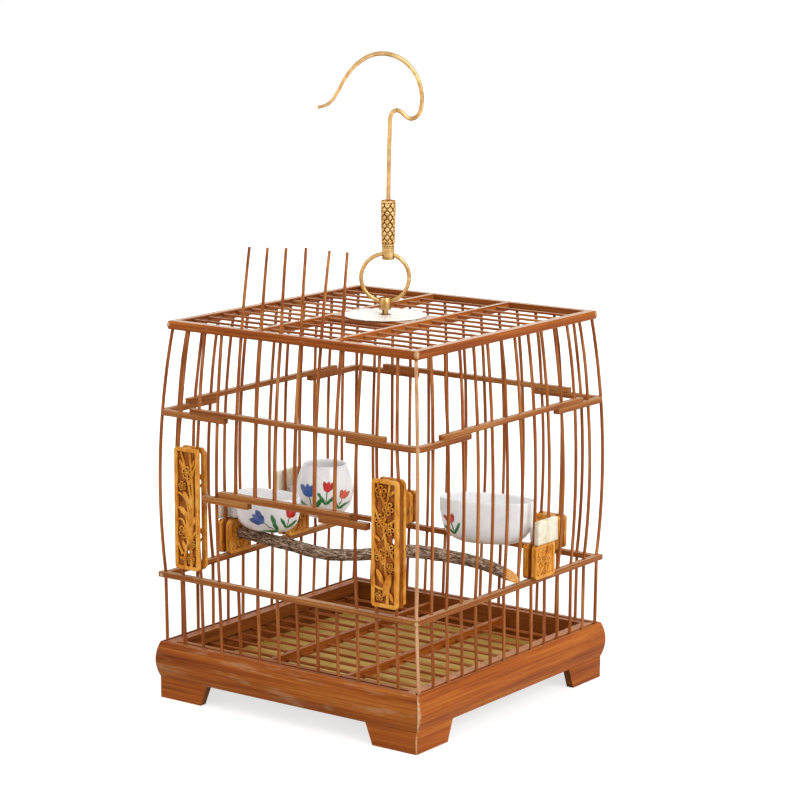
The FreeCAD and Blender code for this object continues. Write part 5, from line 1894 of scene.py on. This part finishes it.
        # Seen from outside, the count of rods runs the other way on the left wall
        way, half_turn = (1, 0.0) if form.wall is Wall.RIGHT else (-1, 180.0)
        along = way * self.bow.fan(form.wall, index, self.bow.hoop_top)
        bowl = self.bowl(form)
        turn = Matrix.Rotation(math.radians(form.turn), 4, "Z")
        slide = Matrix.Translation((inside, 0.0, 0.0)) @ turn @ Matrix.Translation((-form.reach, 0.0, form.level))
        bowl.matrix_world = slide
        settle(bowl, "bowl")
        root = inside - (form.reach * 0.1 if form.jar else self.neck_root)
        piece = join([bowl, self.neck(root, outside)], f"{form.name}_glazed")
        place = Matrix.Translation((0.0, along, 0.0)) @ Matrix.Rotation(math.radians(half_turn), 4, "Z")
        piece.matrix_world = place
        settle(piece, piece.name)
        middle = (place @ slide).translation
        smooth(piece, 60.0)
        self.paint_map(piece, Vector((middle.x, middle.y, 0.0)), form.level, form.reach)
        self.palette.dress(piece, f"porcelain_{form.name}")
        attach(piece, self.body(form))
        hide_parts(form.name)
        self.lug(form)
        LOG.info("%s glazed", form.name)

    def build(self) -> None:
        """Builds the three cups."""
        # Where the clips stand along the walls, counted in rods
        near, far = 4.5, 8.5
        jar = CupForm("round_cup", Wall.LEFT, 23.5 * MM, 1.0, 44 * MM, 119.5 * MM, 9 * MM, jar=True)
        boat = CupForm("long_cup", Wall.RIGHT, 38 * MM, 37 / 76, 35 * MM, 124.5 * MM, 4.5 * MM, 18.0, 0.85)
        dish = CupForm("short_cup", Wall.LEFT, 29 * MM, 36 / 58, 29 * MM, 122.5 * MM, 4.5 * MM, 0.0, 0.85)
        for form, index in ((jar, near), (boat, far), (dish, far)):
            self.build_one(form, index)


# Share along the perch, its rise as a share of the crook's height, and its thickness
PERCH_LINE = (
    (0.0, 1.0, 0.95), (0.1, 0.72, 1.0), (0.2, 0.45, 1.05), (0.3, 0.12, 0.98), (0.4, 0.25, 0.94), (0.5, 0.62, 1.0),
    (0.62, 1.2, 1.08), (0.75, 1.1, 1.0), (0.86, 0.9, 0.96), (0.94, 0.4, 0.92), (1.0, 0.0, 0.9),
)  # fmt: skip


@dataclass
class Perch:
    """A crooked branch with its bark on, cut slantwise at its right end."""

    palette: Palette
    radius: float = 5.2 * MM
    rise: float = 11.0 * MM
    end_back: float = 3.0 * MM
    longer: float = 4.5 * MM
    relief: float = 0.5 * MM
    slimmer: float = 0.97
    cut_back: float = 1.5 * MM
    cut_facing: Triple = (0.78, -0.45, 0.44)

    def build(self) -> None:
        """Builds the branch from its crooked line, its rough bark and its cut."""
        low, high = (Vector(corner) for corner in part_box("perch"))
        start_y = low.y + self.radius * PERCH_LINE[0][2]
        foot = low.z + self.radius * PERCH_LINE[-1][2]
        points = []
        for reach, rise, _ in PERCH_LINE:
            y = start_y * (1 - reach) + self.end_back * reach
            points.append(Vector((low.x + reach * (high.x - low.x + self.longer), y, foot + rise * self.rise)))
        piece = wire(points, [self.radius * swell * self.slimmer for *_, swell in PERCH_LINE], 20, curved=True)
        edit(piece)
        bpy.ops.mesh.subdivide(number_cuts=2)
        bpy.ops.object.mode_set(mode="OBJECT")

        def rough(p: Vector) -> Vector:
            """A point of the smooth branch, raised or sunk by its bark.

            Args:
                p: the point.

            Returns:
                Its place on the bark.
            """
            near = min(points, key=lambda q: abs(q.x - p.x))
            out = Vector((0.0, p.y - near.y, p.z - near.z)).normalized()
            crack = noise.noise(Vector((p.x / (6 * MM), p.y / (1.9 * MM), p.z / (1.9 * MM))))
            swell = noise.noise(p / (14 * MM))
            return p + out * self.relief * (0.8 * crack + 0.9 * swell - 0.4)

        shape(piece, rough)
        settle(piece, "perch_branch")
        self.palette.dress(piece, "branch_bark", "branch_end")
        edit(piece)
        cut = Vector((high.x - self.cut_back, self.end_back, foot))
        facing = Vector(self.cut_facing).normalized()
        bpy.ops.mesh.bisect(plane_co=cut, plane_no=facing, use_fill=True, clear_outer=True)
        bpy.context.object.active_material_index = 1
        bpy.ops.object.material_slot_assign()
        bpy.ops.object.mode_set(mode="OBJECT")
        smooth(piece, 60.0)
        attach(piece, "cage")
        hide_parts("perch")
        LOG.info("perch drawn")


@dataclass
class Hanger:
    """Rosette disc of shell, and barrel, ring, ferrule, knurled sleeve and hook, turned and drawn from brass."""

    palette: Palette
    wire_radius: float = 1.6 * MM
    ring_radius: float = 18.4 * MM
    offset: float = 2.2 * MM
    head_height: float = 9.3 * MM
    eye_radius: float = 2.2 * MM
    sides: int = 40
    rows: int = 10
    columns: int = 7
    hook_radius: float = 1.65 * MM
    disc_reach: float = 32.4 * MM
    lobes: int = 16

    def finish(self, piece: Piece, node: str, body: str, slot: str, finish: str) -> None:
        """Names, dresses and binds one piece of the hanger.

        Args:
            piece: the mesh object.
            node: the node that it stands for.
            body: the body that it rides on.
            slot: the record's material slot; not used.
            finish: the finish's name.
        """
        settle(piece, f"{node}_made")
        smooth(piece, 42.0)
        self.palette.dress(piece, finish)
        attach(piece, body)
        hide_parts(node)
        LOG.info("%s made", node)

    def bored(self, piece: Piece, x: float, level: float) -> None:
        """Cuts the eye for the ring through a turned piece, along the ring's own plane.

        Args:
            piece: the mesh object.
            x: where the piece stands along the hanger's line.
            level: the eye's height.
        """
        middle = HANGER_TURN @ Vector((x, 0.0, level))
        start_clean()
        bpy.ops.mesh.primitive_cylinder_add(vertices=24, radius=self.eye_radius, depth=24 * MM)
        drill = bpy.context.object
        drill.matrix_world = Matrix.Translation(middle) @ HANGER_TURN @ Matrix.Rotation(math.pi / 2, 4, "Y")
        add_modifier(piece, "BOOLEAN", object=drill, operation="DIFFERENCE", solver="EXACT")
        drop(drill)

    def barrel(self) -> None:
        """The barrel: a slotted shank through the top board and a turned head with the ring's eye."""
        low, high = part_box("hanger_barrel")[0][2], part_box("hanger_barrel")[1][2]
        head = high - self.head_height
        profile = [(3.7, low), (3.8, low + 0.4 * MM), (3.7, low + 1.3 * MM), (2.3, low + 1.4 * MM)]
        profile += [(2.3, head - 1.6 * MM), (2.35, head - 0.4 * MM), (2.35, head), (4.3, head), (4.62, head + 0.3 * MM)]
        profile += [(4.65, head + 1.2 * MM), (4.65, high - 0.5 * MM), (4.4, high - 0.1 * MM), (2.5, high)]
        piece = turned([(r * MM, z) for r, z in profile], self.sides)
        size, middle = Vector((0.9 * MM, 12 * MM, head - low + 2 * MM)), Vector((0.0, 0.0, (low + head) / 2 - MM))
        slot = block("slot", size, middle)
        add_modifier(piece, "BOOLEAN", object=slot, operation="DIFFERENCE", solver="EXACT")
        drop(slot)
        self.bored(piece, 0.0, head + self.head_height * 0.66)
        self.finish(piece, "hanger_barrel", "barrel", "brass", "satin_brass")

    def ring(self) -> None:
        """The ring: a drawn wire bent round and soldered."""
        low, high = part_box("hanger_ring")[0][2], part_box("hanger_ring")[1][2]
        middle = (low + high) / 2
        points, sizes, steps, soldered = [], [], 72, (17, 18)
        for step in range(steps):
            angle = 2 * math.pi * step / steps
            reach = self.ring_radius * (1 + 0.004 * math.sin(3 * angle))
            points.append(HANGER_TURN @ Vector((reach * math.sin(angle), 0.0, middle - reach * math.cos(angle))))
            sizes.append(self.wire_radius * (1.03 if step in soldered else 1.0))
        self.finish(wire(points, sizes, 16, closed=True), "hanger_ring", "ring", "brass", "satin_brass")

    def ferrule(self) -> None:
        """The plain ferrule that hangs on the ring and carries the sleeve."""
        low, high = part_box("ferrule")[0][2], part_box("ferrule")[1][2]
        profile = [(4.1, low), (4.55, low + 0.15 * MM), (4.7, low + 0.5 * MM), (4.7, low + 5.0 * MM)]
        profile += [(4.6, high - 2.2 * MM), (4.5, high - 1.6 * MM), (4.75, high - 1.2 * MM), (4.75, high - 0.3 * MM)]
        profile.append((4.4, high))
        piece = turned([(r * MM, z) for r, z in profile], self.sides)
        piece.matrix_world = Matrix.Translation(HANGER_TURN @ Vector((self.offset, 0.0, 0.0)))
        settle(piece, "ferrule")
        self.bored(piece, self.offset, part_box("hanger_ring")[1][2] - self.wire_radius - 0.66 * MM)
        self.finish(piece, "ferrule", "sleeve", "brass", "satin_brass")

    def sleeve(self) -> None:
        """The knurled sleeve: staggered diamond beads on a core between two plain bands."""
        low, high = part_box("hook_sleeve")[0][2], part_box("hook_sleeve")[1][2]
        core = [(4.7, low), (4.8, low + 0.3 * MM), (4.8, low + 1.6 * MM), (3.8, low + 2.1 * MM), (4.2, high - 2.3 * MM)]
        core += [(5.3, high - 1.8 * MM), (5.4, high - 1.2 * MM), (5.4, high - 0.3 * MM), (5.0, high), (2.0, high)]
        core += [(1.72, high), (1.72, high - 6.9 * MM)]
        pieces = [turned([(r * MM, z) for r, z in core], self.sides)]
        start_clean()
        bpy.ops.mesh.primitive_cube_add(size=1.0, rotation=(0.0, math.pi / 4, 0.0))
        bead = settle(bpy.context.object, "bead")
        add_modifier(bead, "BEVEL", width=0.26, segments=3, limit_method="ANGLE")
        span = high - low - 4.4 * MM
        for row in range(self.rows):
            share = (row + 0.5) / self.rows
            level = low + 2.1 * MM + share * span
            radius = (3.95 + 0.6 * share) * MM
            width = 2 * math.pi * (radius + 0.4 * MM) / self.columns
            size = Matrix.Diagonal((width / 1.5, 2.6 * MM, span / self.rows / 0.86, 1.0))
            for column in range(self.columns):
                turn = Matrix.Rotation(2 * math.pi * (column + (row % 2) / 2) / self.columns, 4, "Z")
                place = turn @ Matrix.Translation((0.0, -radius, level)) @ size
                pieces.append(copy_of(bead, place))
        drop(bead)
        piece = join(pieces, "knurled")
        piece.matrix_world = Matrix.Translation(HANGER_TURN @ Vector((self.offset, 0.0, 0.0)))
        self.finish(piece, "hook_sleeve", "sleeve", "brass", "satin_brass")

    def hook(self) -> None:
        """The hook: a stem, a small kink and the large bend, thinner towards its tip."""
        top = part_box("hook_sleeve")[1][2] / MM
        line = [(0.0, -6.7), (0.0, 6.0), (0.2, 25.0), (0.5, 42.0), (0.9, 56.0), (1.0, 62.0), (2.4, 66.4), (5.6, 68.2)]
        line += [(9.0, 67.2), (12.2, 63.8), (16.2, 61.2), (20.6, 62.4), (23.6, 66.0), (24.9, 71.6), (25.1, 78.0)]
        line += [(23.9, 86.4), (20.2, 95.6), (13.2, 103.8), (4.8, 108.8), (-4.1, 110.6), (-12.6, 109.6), (-21.4, 104.9)]
        line += [(-28.9, 97.8), (-34.6, 89.2), (-38.9, 80.6), (-43.2, 74.2), (-48.6, 70.6), (-53.8, 69.9)]
        points = [HANGER_TURN @ Vector((x * MM + self.offset, 0.0, (z + top) * MM)) for x, z in line]
        count = len(points) - 1
        sizes = [self.hook_radius * (1 - 0.25 * max(step / count - 0.7, 0) / 0.3) for step in range(count + 1)]
        self.finish(wire(points, sizes, 16, curved=True), "hook", "hook", "brass", "satin_brass")

    def disc(self) -> None:
        """The rosette: a thin disc with sixteen petals, grooved between them and dished at its middle."""
        low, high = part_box("rosette_disc")[0][2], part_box("rosette_disc")[1][2]
        reach, board = self.disc_reach, high - low
        start_clean()
        bpy.ops.mesh.primitive_circle_add(vertices=192, radius=reach, fill_type="NGON")
        piece = settle(bpy.context.object, "disc")
        edit(piece)
        bpy.ops.mesh.select_mode(type="FACE")
        for share in (0.035, 0.05, 0.06, 0.09, 0.12, 0.14, 0.14, 0.12, 0.1):
            bpy.ops.mesh.inset(thickness=share * reach)
        bpy.ops.mesh.delete(type="FACE")
        bpy.ops.object.mode_set(mode="OBJECT")

        def petalled(p: Vector) -> Vector:
            """A point of the flat disc, raised to its petals and drawn in between them.

            Args:
                p: the point.

            Returns:
                Its place on the rosette.
            """
            share = math.hypot(p.x, p.y) / reach
            angle = math.atan2(p.y, p.x) * self.lobes
            groove = math.exp(-((math.sin(angle / 2 + math.pi / 2) / 0.35) ** 2))
            edge = 1 - 0.06 * groove * share**4
            swell = 0.35 + 0.65 * math.sin(math.pi * min(share, 1.0) ** 1.5)
            crown = 0.75 * board * swell - 0.45 * board * groove * share
            return Vector((p.x * edge, p.y * edge, low + board * 0.45 + max(crown, 0.0)))

        shape(piece, petalled)
        add_modifier(piece, "SOLIDIFY", thickness=board * 0.42, offset=-1.0)
        add_modifier(piece, "BEVEL", width=0.2 * MM, segments=2, limit_method="ANGLE")
        self.finish(piece, "rosette_disc", "cage", "rosette", "pearl_disc")

    def build(self) -> None:
        """Builds the hanger from the disc up."""
        self.disc()
        self.barrel()
        self.ring()
        self.ferrule()
        self.sleeve()
        self.hook()


@dataclass
class Studio:
    """Plain pale floor, soft light from large panels, and the camera at the photograph's angle."""

    eye: Vector = Vector((1.2224, -1.6773, 0.6217))
    azimuth: float = 36.08
    elevation: float = 12.8
    roll: float = 0.23
    lens_mm: float = 122.8
    shift: Pair = (0.0194, 0.127)

    def build(self) -> None:
        """Builds the floor, the lamps, the world and the camera."""
        self.floor()
        self.lamp("key_light", (2.5, -0.5, 1.7), 47.0, 1.6)
        self.lamp("fill_light", (-0.9, -2.6, 1.5), 15.0, 2.0)
        self.lamp("back_light", (-1.2, 2.2, 2.0), 12.0, 1.8)
        self.world()
        self.camera()
        bpy.context.scene.view_settings.view_transform = "Standard"

    def seen(self, tree: Tree) -> Socket:
        """One where the camera, a reflection or a clear body looks, for the floor and the world alone.

        Args:
            tree: the node tree.

        Returns:
            The value's output.
        """
        path = add_node(tree, "LightPath")
        seen = calculate(tree, "MAXIMUM", path.outputs["Is Camera Ray"], path.outputs["Is Glossy Ray"])
        return calculate(tree, "MAXIMUM", seen, path.outputs["Is Transmission Ray"])

    def floor(self) -> None:
        """A pale floor that is white to the camera away from the cage and keeps its shadow near it."""
        start_clean()
        bpy.ops.mesh.primitive_plane_add(size=12.0, location=(0.0, 0.0, CAD_BOUNDS[0][2]))
        plane = settle(bpy.context.object, "studio_floor")
        material, tree, shader = new_material("white_sweep")
        shader.inputs["Base Color"].default_value = linear("#B4B4B4")
        surface(shader, 0.9, 0.0)
        shader.inputs["Emission Color"].default_value = (1.0, 1.0, 1.0, 1.0)
        place = add_node(tree, "TexCoord").outputs["Object"]
        away = add_node(tree, "VectorMath", {"operation": "LENGTH"}, {0: place}).outputs["Value"]
        glow = calculate(tree, "MULTIPLY", between(tree, away, 0.2, 0.6, 0.7, 1.0), self.seen(tree))
        link(tree, glow, shader, "Emission Strength")
        plane.data.materials.append(material)

    def lamp(self, name: str, place: Triple, power: float, size: float) -> None:
        """A square area lamp that points at the cage.

        Args:
            name: the lamp's name.
            place: where it stands.
            power: watts.
            size: its edge.
        """
        data = bpy.data.lights.new(name, "AREA")
        data.energy = power
        data.size = size
        lamp = bpy.data.objects.new(name, data)
        lamp.location = place
        lamp.rotation_euler = (Vector((0, 0, 0.2)) - Vector(place)).to_track_quat("-Z", "Y").to_euler()
        bpy.context.scene.collection.objects.link(lamp)

    def world(self) -> None:
        """Plain white surroundings: full white to the camera and to reflections, dimmer as light."""
        world = bpy.data.worlds.new("studio")
        bpy.context.scene.world = world
        world.use_nodes = True
        tree = world.node_tree
        tree.nodes.clear()
        strength = between(tree, self.seen(tree), 0.0, 1.0, 0.76, 1.0)
        ground = add_node(tree, "Background", inputs={"Color": (1.0, 1.0, 1.0, 1.0), "Strength": strength})
        output = add_node(tree, "OutputWorld")
        tree.links.new(ground.outputs[0], output.inputs["Surface"])

    def camera(self) -> None:
        """The camera of the photograph."""
        data = bpy.data.cameras.new("photograph")
        data.lens = self.lens_mm
        data.sensor_width = 36.0
        data.shift_x, data.shift_y = self.shift
        camera = bpy.data.objects.new("photograph", data)
        turn = Matrix.Rotation(math.radians(self.azimuth), 4, "Z")
        tilt = Matrix.Rotation(math.radians(90 - self.elevation), 4, "X")
        roll = Matrix.Rotation(math.radians(self.roll), 4, "Z")
        camera.matrix_world = Matrix.Translation(self.eye) @ turn @ tilt @ roll
        bpy.context.scene.collection.objects.link(camera)
        bpy.context.scene.camera = camera


def main() -> None:
    """Builds the cage's visible pieces and the studio."""
    logging.basicConfig(level=logging.INFO, format="%(message)s")
    random.seed(SEED)
    palette = Palette()
    Rods(palette, Bow()).build()
    Woodwork(palette).build()
    Carvings(palette).build()
    Cups(palette, Bow()).build()
    Perch(palette).build()
    Hanger(palette).build()
    Studio().build()


if __name__ == "__main__":
    main()
